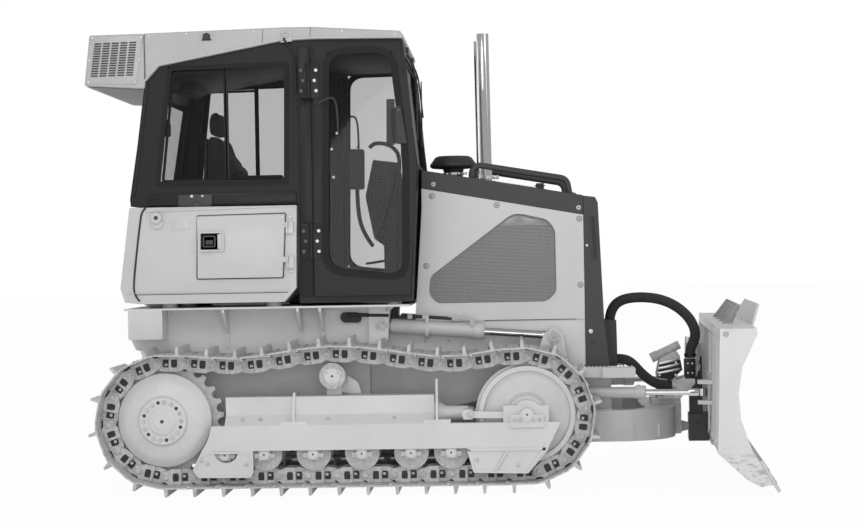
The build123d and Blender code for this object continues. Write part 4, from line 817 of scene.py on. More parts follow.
class DOZER_OT_roof(bpy.types.Operator):
    """Adds the louvred panels, the lamps, the drip lip and the screws of the roof"""
    bl_idname = "dozer.roof"
    bl_label = "Roof"

    def execute(self, context):
        panel, slots, lips, screws, lip, lamp, lens = shapes(7)
        panel.outline(((-437, 2781), (-113, 2778), (-160, 2484), (-468, 2491)), (-724, -730), edge=2.5)
        for row in range(LOUVRE_ROWS):
            for column in range(LOUVRE_COLUMNS):
                # the field of slots leans with the panel
                down, along = (row + 0.5) / LOUVRE_ROWS, (column + 0.5) / LOUVRE_COLUMNS
                x = -414 - 30 * down + along * (267 + 4 * down)
                z = 2740 + 6 * along - down * (209 + 3 * along)
                # painted shade: dark bars under the lips stand for the shade inside the louvre slots
                slots.bar(x - 21, x + 21, -732, -729, z - 5, z + 3.6)
                lips.outline(((x - 22, z + 3.6), (x + 22, z + 3.6), (x + 22, z + 6), (x - 22, z + 6)),
                    (-729, -733), edge=0.8)
        screws.studs(-730, ((-425, 2768), (-126, 2766), (-170, 2498), (-455, 2503), (-140, 2632),
            (-447, 2635)), 8, 4, sides=12)
        screws.studs(-725, ((-80, 2775), (150, 2782), (560, 2785), (1100, 2778), (1420, 2750)), 7, 3,
            sides=12)
        lip.outline(((-106, 2499), (-24, 2593), (728, 2730), (906, 2737), (1466, 2730), (1466, 2737),
            (905, 2744), (726, 2737), (-28, 2600), (-112, 2505)), (-724, -731), edge=2)
        # seams where the roof's mouldings meet
        seams = Shape()
        for x0, z0, x1, z1 in ((612, 2714, 618, 2800), (-109, 2500, -104, 2788),
                (903, 2738, 908, 2804)):
            seams.outline(((x0, z0), (x0 + 3, z0), (x1 + 3, z1), (x1, z1)), (-723, -725.6))
        lamp.ring(((226, 2731), (320, 2731), (324, 2784), (230, 2786)), (-722, -728), 7, 16)
        lens.turn(((0, -2), (21, -2), (24, 4), (20, 12), (10, 19), (0, 21)), at(275, -724, 2762), OUT,
            24)
        lens.bar(246, 304, -727, -722, 2738, 2752, 2)
        bracket = Shape()
        bracket.outline(((725, 2788), (797, 2786), (797, 2722), (727, 2716)), (-723, -729), edge=1.5)
        bracket.tube(in_plane(-732, (738, 2728), (732, 2770), (752, 2784), (776, 2770), (768, 2742),
            (750, 2748)), 5)
        bracket.stud(at(762, -729, 2762), 9, 6)
        mirrored_pieces((panel, "louvre_panels", "roof_paint"), (slots, "louvre_slot_shade", "dark_plastic"),
            (lips, "louvre_lips", "roof_paint"), (screws, "roof_screws", "zinc"),
            (lip, "roof_lip", "pale_paint"), (lamp, "lamp_pockets", "roof_paint"),
            (lens, "roof_lamps", "dark_plastic"), (seams, "roof_seams", "dark_plastic"),
            (bracket, "roof_brackets", "roof_paint"))
        # perforated sheet under the roof's box, and the headlining over the seat
        under = Shape()
        under.outline(((-470, 2478), (-118, 2454), (-118, 2451), (-470, 2475)), (-690, 690))
        under.piece("roof_underside", "perforated_sheet")
        lining = Shape()
        lining.outline(((-40, 2500), (20, 2556), (742, 2676), (1400, 2676), (1402, 2650), (745, 2650),
            (35, 2530), (-10, 2490)), (-640, 640), edge=6)
        lining.piece("headlining", "cab_trim")
        return {"FINISHED"}


class DOZER_OT_cab(bpy.types.Operator):
    """Adds window rubbers, hinge bolts, door handles, wipers, the sill and what stands in the cab"""
    bl_idname = "dozer.cab"
    bl_label = "Cab"

    @staticmethod
    def windscreen(y, z, out):
        return at(1519 - 0.0957 * (z - 1960) + out, y, z)

    @staticmethod
    def rear_window(y, z, out):
        return at(-187 + 0.1528 * (z - 1850) + out, y, z)

    def execute(self, context):
        rubber, rail, bolts, black, dark, dull = shapes(6)
        # rubber round the rear side window, its two runners and latch
        rubber.ring(((-60, 1858), (30, 2590), (770, 2604), (756, 1860)), (-697, -704), 28, 34)
        rubber.ring(((-24, 1884), (52, 2560), (395, 2564), (384, 1884)), (-676, -684), 16, 24)
        rail.bar(372, 394, -688, -674, 1870, 2580, 3)
        rail.bar(-50, 752, -690, -660, 1858, 1892, 3)
        black.bar(-8, 34, -676, -650, 2165, 2245, 6)
        black.bar(-30, 20, 640, 670, 2190, 2270, 6)
        black.bar(366, 386, 674, 688, 1870, 2580, 3)
        # sill under the window with its bracket and lock
        black.outline(((-110, 1742), (-99, 1812), (802, 1814), (802, 1746)), (-700, -712), edge=3)
        dark.outline(((80, 1735), (84, 1806), (292, 1808), (288, 1737)), (-711, -724), edge=4)
        dark.knob(at(196, -712, 1742), 26, 12, 18, 18, 20, foot=0)
        bolts.stud(at(167, -724, 1797), 11, 8)
        bolts.stud(at(232, -724, 1797), 8, 6)
        # upright cover strips at the cab's corners
        black.outline(((-207, 1800), (-112, 2494), (-88, 2500), (-184, 1798)), (-700, -707), edge=3)
        black.bar(822, 902, -700, -709, 1172, 2690, 4)
        door, door_rubber, door_bolts, handle, silver = shapes(5)
        for middle in (1510, 2480.5):
            for dz in (-62, 0, 62):
                dull.stud(at(848 if dz else 860, -747, middle + dz), 12, 9)
                door_bolts.stud(at(939 if dz else 929, -747, middle + dz), 12, 9)
        door_rubber.ring(((955, 1312), (980, 2674), (1420, 2682), (1494, 2027), (1482, 1256)),
            (-738, -746), 42, 120)
        door.ring(((908, 1179), (928, 2701), (1450, 2701), (1482, 2578), (1537, 1932), (1484, 1179)),
            (-738, -743), 10, 14)
        handle.outline(((1411, 2088), (1415, 2316), (1452, 2318), (1486, 2086)), (-739, -766), edge=9)
        handle.outline(((1358, 2084), (1363, 2359), (1412, 2359), (1410, 2082)), (-738, -744), edge=5)
        handle.ring(((1420, 2116), (1424, 2266), (1452, 2266), (1466, 2116)), (-764, -770), 6, 11)
        silver.stud(at(1437, -766, 2290), 8, 4, sides=16)
        handle.tube(through((1070, -742, 2150), (1068, -752, 2190), (1066, -756, 2284),
            (1058, -756, 2352), (1034, -756, 2378), (990, -754, 2362), (950, -750, 2340)), 7)
        door_bolts.studs(-741, ((1026, 2064), (1035, 1895), (1060, 2160)), 8, 6)
        for shape, name, finish in ((door, "edges", "black_paint"), (door_rubber, "rubbers", "seal"),
                (door_bolts, "bolts", "zinc"), (handle, "handle", "black_plastic"),
                (silver, "locks", "engine_grey")):
            on_both(shape, "door_" + name, finish, "cab_door")
        # wiring loom from the roof to the hinge
        black.tube(through((745, -729, 2742), (768, -737, 2700), (806, -742, 2640), (812, -744, 2560),
            (812, -744, 2440), (826, -744, 2370), (868, -746, 2345)), 7)
        mirrored_pieces((rubber, "window_rubbers", "seal"), (rail, "window_runners", "black_paint"),
            (bolts, "cab_bolts", "zinc"), (dull, "hinge_bolts", "engine_grey"),
            (black, "cab_strips", "black_paint"), (dark, "window_latches", "dark_plastic"))
        # windscreen and rear window rubbers, and the wipers
        screens = Shape()
        screens.ring(((-632, 1963), (-632, 2637), (632, 2637), (632, 1963)), (0, 6), 24, 60,
            self.windscreen)
        screens.ring(((-612, 1853), (-612, 2437), (612, 2437), (612, 1853)), (0, -6), 24, 60,
            self.rear_window)
        screens.piece("screen_rubbers", "seal")
        wiper = Shape()
        for side in (-1, 1):
            wiper.tube(through((1448, side * 300, 2700), (1500, side * 302, 2640),
                (1522, side * 306, 2460), (1534, side * 312, 2320)), 6)
            wiper.bar(1522, 1530, side * 312 - 8, side * 312 + 8, 2130, 2560, 2)
            wiper.bar(1440, 1480, side * 300 - 40, side * 300 + 40, 2684, 2716, 6)
        wiper.piece("wipers", "black_plastic")
        inside, screen = shapes(2)
        # monitor on its arm, handrail, console's front, pedals, armrest boxes and trim
        inside.outline(((1103, 2080), (1199, 2078), (1196, 1828), (1098, 1830)), (-450, -395), edge=14)
        inside.tube(through((1150, -420, 1835), (1150, -420, 1700), (1180, -400, 1560),
            (1230, -300, 1480)), 13)
        inside.tube(through((1219, -250, 2095), (1240, -250, 2128), (1330, -250, 2120),
            (1392, -250, 2075), (1408, -250, 2010), (1404, -250, 1955)), 13)
        inside.outline(((1242, 2018), (1411, 1996), (1420, 1900), (1330, 1690), (1290, 1500),
            (1235, 1540), (1330, 1680), (1190, 1790)), (-262, -300), edge=8)
        for extent in ((-190, -80), (80, 190)):
            inside.outline(((1173, 1372), (1310, 1392), (1316, 1380), (1180, 1358)), extent, edge=4)
        for side in (-1, 1):
            inside.bar(190, 640, side * 290, side * 395, 1590, 1880, 24)
            inside.bar(340, 680, side * 296, side * 384, 1896, 1932, 14)
            inside.bar(400, 560, side * 320, side * 360, 1870, 1900, 6)
        inside.bar(-133, 110, -180, 260, 2486, 2640, 26)
        inside.bar(-100, 640, -410, 410, 1166, 1200, 4)
        inside.bar(-92, 60, -420, 420, 1742, 1890, 22)
        inside.piece("cab_fittings", "cab_trim")
        screen.outline(((1113, 2062), (1189, 2060), (1187, 1900), (1111, 1902)), (-450, -452))
        screen.piece("monitor_face", "black_paint")
        return {"FINISHED"}


PAD_GRID = 0.009  # between the vertices of a seat's pads
SWELL_FRAMES = 20  # that a pad is given to swell
SEAM_REACH = 0.014  # how far from a seam the cover is drawn in


class DOZER_OT_seat(bpy.types.Operator):
    """Builds the sprung seat: cushion, back, headrest and armrests"""
    bl_idname = "dozer.seat"
    bl_label = "Seat"

    @staticmethod
    def pad(name, outline, half, crown, seams, stands_for=()):
        """Padded block: a side outline swollen by air pressure, drawn in along its seams."""
        shape = Shape()
        shape.outline(outline, (-half, half), edge=14)
        solid = shape.mesh(name)
        made = bpy.data.objects.new(name, solid)
        bpy.context.scene.collection.objects.link(made)
        even = made.modifiers.new("even", "REMESH")
        even.mode, even.voxel_size = "VOXEL", PAD_GRID
        view = bpy.context.view_layer
        view.update()
        solid = bpy.data.meshes.new_from_object(made.evaluated_get(view.depsgraph))
        made.modifiers.clear()
        made.data = solid
        swollen = solid
        cloth = made.modifiers.new("swell", "CLOTH")
        cloth.settings.use_pressure, cloth.settings.uniform_pressure_force = True, 4.0
        cloth.settings.effector_weights.gravity = 0.0
        cloth.point_cache.frame_start, cloth.point_cache.frame_end = 1, SWELL_FRAMES
        for step in range(1, SWELL_FRAMES + 1):
            bpy.context.scene.frame_set(step)
        swollen = bpy.data.meshes.new_from_object(made.evaluated_get(view.depsgraph))
        bpy.context.scene.frame_set(1)
        places = [v.co.copy() for v in swollen.vertices]
        normals = [v.normal.copy() for v in swollen.vertices]
        bpy.data.objects.remove(made)
        for vertex, place, normal in zip(solid.vertices, places, normals):
            move = place - vertex.co
            if move.length > crown:
                move *= crown / move.length
            spot = vertex.co + move
            for axis, where, depth in seams:
                away = abs(spot[axis] - where) / SEAM_REACH
                if away < 1:
                    spot -= normal * depth * (1 - away * away)
            vertex.co = spot
        smooth = bmesh.new()
        smooth.from_mesh(solid)
        bmesh.ops.smooth_vert(smooth, verts=smooth.verts, factor=0.4, use_axis_x=True, use_axis_y=True,
            use_axis_z=True)
        smooth.to_mesh(solid)
        smooth.free()
        piece = place_piece(solid, name, "seat_fabric", "machine", 80, 0, stands_for)
        rounder = piece.modifiers.new("round", "SUBSURF")
        rounder.levels = rounder.render_levels = 1

    def execute(self, context):
        self.pad("seat_cushion", ((250, 1624), (632, 1636), (646, 1690), (632, 1736), (430, 1756),
            (262, 1736)), 224, 0.014, ((1, 0.15, 0.008), (1, -0.15, 0.008)), ("seat",))
        self.pad("seat_back", ((156, 1752), (262, 1764), (316, 1800), (384, 1958), (296, 2076),
            (254, 2190), (194, 2200), (184, 1960)), 222, 0.014, ((1, 0.14, 0.008), (1, -0.14, 0.008),
            (2, 2.02, 0.008)))
        self.pad("headrest", ((186, 2204), (252, 2202), (260, 2312), (230, 2356), (196, 2342),
            (182, 2290)), 124, 0.010, ())
        shell, posts = shapes(2)
        shell.outline(((140, 1690), (176, 1960), (184, 2180), (168, 2180), (158, 1960), (124, 1690)),
            (-215, 215), edge=6)
        shell.bar(210, 600, -200, 200, 1470, 1620, 14)
        for i in range(5):
            shell.bar(226 - 2 * i, 580 + 2 * i, -192, 192, 1290 + 34 * i, 1312 + 34 * i, 9)
        shell.bar(220, 590, -200, 200, 1170, 1286, 8)
        for side in (-1, 1):
            posts.tube([at(212, side * 60, 2150), at(214, side * 60, 2190), at(216, side * 60, 2240)],
                6)
            shell.outline(((300, 1905), (560, 1900), (566, 1868), (310, 1862)),
                (side * 246, side * 284), edge=12)
        shell.piece("seat_frame", "black_plastic")
        posts.piece("headrest_posts", "chrome")
        return {"FINISHED"}


class DOZER_OT_hood(bpy.types.Operator):
    """Adds the fasteners, ribbed strips, pipes and clamps of the hood, and the engine behind its grilles"""
    bl_idname = "dozer.hood"
    bl_label = "Hood"

    def execute(self, context):
        bolts, small, seams = shapes(3)
        for x, z in ((1625, 1851), (2520, 1690), (1614, 1778), (2015, 1714), (2523, 1621), (1572, 1345),
                (2523, 1213)):
            small.disc(at(x, HOOD_Y, z), 18, 1, 20)
            bolts.knob(at(x, HOOD_Y, z), 14.5, 3, 11, 5, 20, foot=0)
            small.disc(at(x, -445, z), 5, 0.6, 6)
        seams.outline(((1926, 1001), (2495, 1001), (2495, 1004.5), (1926, 1004.5)), (-440, -441))
        seams.outline(((1551, 1826), (2546, 1646), (2546, 1650), (1551, 1830)), (-436, -440.4))
        # folded rim round the grille's opening
        rim = Shape()
        rim.ring(((1583, 1287), (1571, 1170), (1628, 1099), (2320, 1100), (2388, 1165), (2386, 1563),
            (2330, 1634), (2162, 1672), (2098, 1668)), (-427, -441.5), 13, 31)
        rim.mirrored().piece("grille_rims", "pale_paint")
        mesh = Shape()
        mesh.outline(((1600, 1280), (1590, 1180), (1636, 1116), (2312, 1116), (2372, 1172),
            (2370, 1556), (2322, 1622), (2160, 1656), (2100, 1652)), (-428, -429.5))
        mesh.mirrored().piece("grille_sheets", "grille_mesh")
        holes, hold, silver = shapes(3)
        silver.stud(at(2581, HOOD_Y, 924), 15, 9, sides=12)
        silver.stud(at(2567, HOOD_Y, 1456), 7, 2, sides=12)
        # painted shade: dark discs in the guard's holes, and a dark plate inside the handhold's ring
        for x, z in ((2572, 1301), (2600, 850)):
            holes.disc(at(x, HOOD_Y, z), 9, 1.2, 16)
        hold.ring(((2622, 1640), (2585, 1640), (2598, 1370), (2638, 1370)), (-439, -447), 8, 17)
        holes.outline(((2616, 1634), (2591, 1634), (2604, 1376), (2632, 1376)), (-439, -440.8))
        mirrored_pieces((bolts, "hood_buttons", "pale_low"), (small, "hood_sockets", "dark_plastic"),
            (seams, "hood_seams", "dark_plastic"), (holes, "guard_hole_shade", "rubber"),
            (hold, "guard_handholds", "dark_paint"), (silver, "guard_bolts", "zinc"))
        top = Shape()
        slope = math.atan2(HOOD_BACK[1] - HOOD_FRONT[1], HOOD_FRONT[0] - HOOD_BACK[0])
        square = (math.sin(slope), 0, math.cos(slope))  # straight out of the hood's top
        for i in range(STRIP_RIBS):
            x = 1900 + i * RIB_PITCH
            z = HOOD_BACK[1] - (x - HOOD_BACK[0]) * math.tan(slope)
            for y in (-424, 340):
                top.bar(x, x + 5, y, y + 84, z - 2, z + 4)
        top.turn(((0, -4), (24, -4), (24, 8), (16, 14), (0, 15)), at(2284, 0, 1814), square, 20)
        top.turn(((0, -6), (42, -6), (42, 10), (30, 18), (0, 20)), at(2480, -120, 1779), square, 24)
        top.bar(2262, 2312, -268, -232, 1806, 1852, 5)
        top.bar(2254, 2320, -262, -238, 1832, 1840, 2)
        top.outline(((1548, 1936), (1560, 1942), (1560, 1950), (1540, 1950)), (-430, 430), edge=2)
        top.piece("hood_fittings", "dark_paint")
        # thinner pipe beside the stack, the clamps at its foot and the air cleaner's
        pipes, clamps, clips = shapes(3)
        pipes.turn(((13, 4), (16, 0), (16, 890), (13, 890), (13, 4)), at(DRAIN_X, -37, 1886),
            (-0.0079, 0, 1), 24)
        pipes.piece("drain_pipe", "stack_chrome")
        clamps.hoop(at(STACK_X, 0, 1905), 38, 44, -9, 9, 28)
        clamps.hoop(at(DRAIN_X, -37, 1912), 16, 22, -9, 9, 28)
        clamps.bar(1990, 2030, -9, 9, 1893, 1917, 3)
        clamps.hoop(at(CLEANER_X, 0, 1932), 61, 66, -8, 8, 32)
        clamps.bar(1798, 1828, -66, -50, 1924, 1940, 3)
        for x, y in ((1700, -62), (1738, -68), (1776, -62)):
            clips.stud(at(x, y, 1932), 7, 8)
        for turn in range(8):
            angle = turn * math.pi / 4 + 0.3
            clips.stud(at(STACK_X + 52 * math.cos(angle), 52 * math.sin(angle),
                1882 - 52 * math.cos(angle) * math.tan(slope)), 7, 8, square)
        clamps.piece("pipe_clamps", "zinc")
        clips.piece("clamp_screws", "zinc")
        # ribs round the air cleaner's bowl
        ribs = Shape()
        for turn in range(24):
            angle = turn * math.pi / 12
            fin = Shape()
            fin.outline(((100, 2040), (120, 2033), (147, 1992), (150, 1983), (140, 1983), (112, 2030)),
                (-2, 2))
            there, back = Matrix.Translation(at(CLEANER_X, 0, 0)), Matrix.Translation(-at(0, 0, 0))
            ribs.add(fin.mesh("fin"), there @ Matrix.Rotation(angle, 4, "Z") @ back)
        ribs.piece("cleaner_ribs", "black_plastic")
        # what shows of the engine through the grilles
        engine = Shape()
        engine.bar(1700, 2300, -330, -240, 1040, 1180, 10)
        engine.bar(1660, 1980, -320, -250, 1220, 1420, 16)
        engine.turn(((0, -160), (70, -160), (78, -150), (78, 150), (70, 160), (0, 160)),
            at(2130, -300, 1500), (1, 0, 0), 24)
        engine.disc(at(1820, -330, 1330), 60, 40, 20, (0, 1, 0), foot=-40)
        engine.disc(at(2200, -320, 1290), 44, 60, 20, UP, foot=-60)
        for z in (1230, 1300, 1370, 1440):
            engine.tube(through((1650, -345, z), (1850, -352, z + 20), (2050, -350, z - 10),
                (2320, -345, z + 10)), 9)
        engine.mirrored().piece("engine_fittings", "engine_grey")
        return {"FINISHED"}


class DOZER_OT_undercarriage(bpy.types.Operator):
    """Adds bolts, covers, ribs and dark discs of painted shade in the bores to the drives, track frames and
    rollers
    """
    bl_idname = "dozer.undercarriage"
    bl_label = "Undercarriage"

    def execute(self, context):
        pale, bolts, dark, steel, rims = shapes(5)
        drive = DRIVE_Z * 1000
        pale.turn(((56, -1), (62, 3), (50, 5), (50, -1)), at(0, -942, drive), OUT, 36)
        # painted shade: dark discs stand for the bores in the drive's middle and between its bolt pairs
        dark.disc(at(0, -942, drive), 11, 1.5, 16)
        for pair in range(6):
            turn = math.radians(pair * 60 + 12)
            for offset in (-0.2, 0.2):
                x, z = DRIVE_BOLTS * math.cos(turn + offset), drive + DRIVE_BOLTS * math.sin(turn + offset)
                bolts.stud(at(x, FRAME_Y, z), 13, 10)
            turn += math.radians(30)
            x, z = DRIVE_BOLTS * math.cos(turn), drive + DRIVE_BOLTS * math.sin(turn)
            dark.disc(at(x, FRAME_Y, z), 11, 1, 16)
        bolts.seated("track_frame_right", [(x, 447) for x in (476, 585, 987, 1383)], 13, 9)
        # idler clamps: bolts, the toothed seats between them and the axle's end
        for x in (2103, 2135, 2213, 2249):
            pale.disc(at(x, -944, 430), 16, 3, 20, foot=-1)
            bolts.stud(at(x, -947, 430), 11, 9)
        teeth = [(2146 + 8 * i, 436 if i % 2 else 424) for i in range(8)]
        pale.outline((*teeth, (2202, 418), (2146, 418)), (-943, -948))
        pale.knob(at(2175, -944, 460), 38, 5, 33, 7, 32)
        # painted shade in the idler axle's bore
        dark.disc(at(2175, -951, 460), 6, 1, 12)
        # roller guards: folded lips, ribs and bolts
        pale.ring(((1814, 264), (1853, 119), (2177, 111), (2290, 264)), (-929, -938), 17, 10)
        pale.ring(((232, 264), (178, 157), (208, 109), (525, 106), (541, 139), (541, 264)),
            (-929, -936), 14, 15)
        pale.outline(((2056, 262), (2070, 262), (1990, 128), (1976, 128)), (-929, -946), edge=2)
        bolts.studs(FRAME_Y, ((1874, 195), (2120, 160), (232, 212), (267, 193), (500, 186)), 12, 8)
        for x in ROLLER_X:
            pale.knob(at(x, -913, 239), 31, 3, 27, 5, 28)
            # painted shade in the roller's bore
            dark.disc(at(x, -918, 239), 6, 1, 12)
            for side in (-1, 1):
                pale.bar(x + side * 32, x + side * 62, -908, -896, 218, 246, 4)
                bolts.stud(at(x + side * 48, -908, 232), 9, 7)
            # turned faces of the roller's rim
            rims.turn(((70, -3), (90, -3), (92, 0), (90, 3), (72, 3), (70, -3)), at(x, -869, 239), OUT,
                40)
        # carrier rollers' bolted covers and their brackets
        pale.knob(at(1015, -860, 700), 50, 6, 44, 10, 32)
        for lobe in range(3):
            turn = lobe * math.tau / 3 + 0.5
            x, z = 1015 + 44 * math.cos(turn), 700 + 44 * math.sin(turn)
            pale.knob(at(x, -860, z), 18, 8, 15, 12, 18)
            bolts.stud(at(x, -872, z), 9, 6)
        # painted shade in the carrier roller's bore
        dark.disc(at(1015, -870, 700), 7, 1, 12)
        pale.outline(((1030, 600), (1060, 640), (1084, 700), (1104, 690), (1160, 650), (1178, 582),
            (1110, 582)), (-700, -716), edge=4)
        for x in (740, 826, 1560, 1690):
            bolts.stud(at(x, -900, 421), 10, 14, UP)
        # recoil cylinder's eye and grease point
        steel.knob(at(1842, -899, 463), 21, 8, 17, 11, 24)
        # the covers take the brightened pale paint, as painted light
        mirrored_pieces((pale, "undercarriage_covers", "pale_paint_painted_light"),
            (bolts, "undercarriage_bolts", "cast_paint"), (dark, "undercarriage_bore_shade", "dark_plastic"),
            (steel, "recoil_eyes", "cast_paint"), (rims, "roller_rims", "cast_paint"))
        return {"FINISHED"}


class DOZER_OT_fenders(bpy.types.Operator):
    """Adds the filler cap, latches, hinge studs, gasket lines and folds of the fenders and service doors"""
    bl_idname = "dozer.fenders"
    bl_label = "Fenders"

    def execute(self, context):
        lines, folds, bolts, black = shapes(4)
        lines.tube(in_plane(-741, (-112, 1730), (-136, 1716), (-150, 1640), (-196, 1280), (-192, 1200),
            (-160, 1164)), 6)
        lines.outline(((-180, 1201), (744, 1201), (744, 1205), (-180, 1205)), (-739, -741))
        lines.ring(((189, 1289), (197, 1680), (744, 1686), (722, 1289)), (-740, -742.5), 5, 12)
        folds.outline(((-116, 1704), (800, 1722), (800, 1731), (-112, 1714)), (-739, -748), edge=2)
        folds.outline(((-240, 1208), (-110, 1211), (744, 1211), (744, 1221), (-240, 1218)),
            (-739, -746), edge=2)
        # bare plate beside the filler cap
        folds.bar(46, 157, -743, -739, 1592, 1654, 1)
        bolts.studs(-743, ((54, 1600), (149, 1600), (54, 1646), (149, 1646)), 3.5, 2, sides=10)
        bolts.studs(-740, [(768, z) for z in HINGE_Z], 9, 8, sides=12)
        cap = Shape()
        cap.outline(((-90, 1640), (-66, 1676), (-28, 1676), (-6, 1640), (-20, 1600), (-72, 1600)),
            (-739, -752), edge=7)
        cap.turn(((0, -1), (35, -1), (36, 16), (31, 22), (14, 23), (12, 20), (0, 20)),
            at(-47, -750, 1668), OUT, 36)
        black.turn(((0, 0), (12, 0), (11, 4), (0, 4)), at(-47, -770.5, 1668), OUT, 20)
        cap.piece("filler_cap", "pale_paint")
        black.piece("filler_lock", "dark_plastic")
        latch, key, studs = shapes(3)
        front = seat("service_door_right", at(290, 0, 1520))[0].y * 1000
        key.outline(((222, 1470), (224, 1570), (340, 1570), (338, 1470)), (front + 0.5, front - 1),
            edge=2)
        latch.ring(((209, 1459), (212, 1579), (368, 1579), (366, 1459)), (front + 1, front - 5), 10, 15)
        latch.bar(326, 352, front - 3, front + 1, 1474, 1562, 2)
        key.outline(((226, 1472), (228, 1566), (326, 1566), (326, 1472)), (front + 1, front - 1),
            edge=0.6)
        key.ring(((236, 1484), (238, 1556), (316, 1556), (315, 1484)), (front, front - 8), 9, 12)
        key.bar(254, 300, front - 10, front, 1500, 1528, 4)
        studs.seated("service_door_right", [(722, z) for z in HINGE_Z], 9, 7, sides=12)
        for shape, name, finish in ((latch, "latches", "pale_paint"),
                (key, "latch_handles", "dark_plastic"), (studs, "hinge_studs", "zinc")):
            on_both(shape, "service_" + name, finish, "service_door")
        mirrored_pieces((lines, "fender_gaskets", "rubber"), (folds, "fender_folds", "pale_paint"),
            (bolts, "fender_studs", "zinc"))
        # hull: bolts on the deck's brackets, the keeper of the lift pin and the slot behind the cylinder
        hull, slots, keeper = shapes(3)
        hull.seated("main_frame", ((1330, 1085), (1700, 880), (1560, 880)), 11, 8)
        hull.ring(((1030, 996), (1030, 1084), (1186, 1080), (1186, 992)), (-530, -545), 11, 43)
        # the dark plate inside the ring is painted shade in the slot's opening
        slots.outline(((1060, 1000), (1041, 1018), (1041, 1060), (1060, 1076), (1150, 1074),
            (1177, 1058), (1177, 1016), (1150, 998)), (-534, -538))
        slots.tube(in_plane(-550, (1086, 1050), (1110, 1058), (1180, 1052), (1260, 1050), (1340, 1047)),
            12)
        # oval keeper of the lift cylinder's pin
        keeper.ring(((1262, 962), (1262, 1010), (1334, 1012), (1334, 964)), (-560, -569), 12, 23)
        keeper.studs(-560, ((1284, 980), (1312, 996)), 12, 10)
        mirrored_pieces((hull, "hull_bolts", "cast_paint"), (slots, "hull_slots", "rubber"),
            (keeper, "pin_keepers", "cast_paint"))
        return {"FINISHED"}


class DOZER_OT_blade(bpy.types.Operator):
    """Adds the cutting edge's bolts and the gussets behind the spill guard"""
    bl_idname = "dozer.blade"
    bl_label = "Blade"

    def execute(self, context):
        bolts = Shape()
        forward = (BLADE_TURN @ Vector((-1, 0, 0))).normalized()
        for row in (90, 160):
            for i in range(EDGE_BOLTS):
                y = -1270 + i * 2540 / (EDGE_BOLTS - 1)
                hit = seat("cutting_edge", on_blade(5000, y, row), forward)
                if hit:
                    bolts.stud(hit[0], 15, 5, hit[1], 12, 0.5)
        bolts.piece("blade_bolts", "cast_paint", "blade")
        # the gussets are coloured dark as painted shade, since they stand in shadow behind the spill guard
        gussets = Shape()
        for y in (-540, -180, 180, 540):
            gussets.outline(((3404, 962), (3500, 1086), (3522, 1076), (3470, 962)), (y - 6, y + 6),
                edge=2)
        gussets.on_blade().piece("guard_gussets", "painted_shade_cast", "blade")
        return {"FINISHED"}


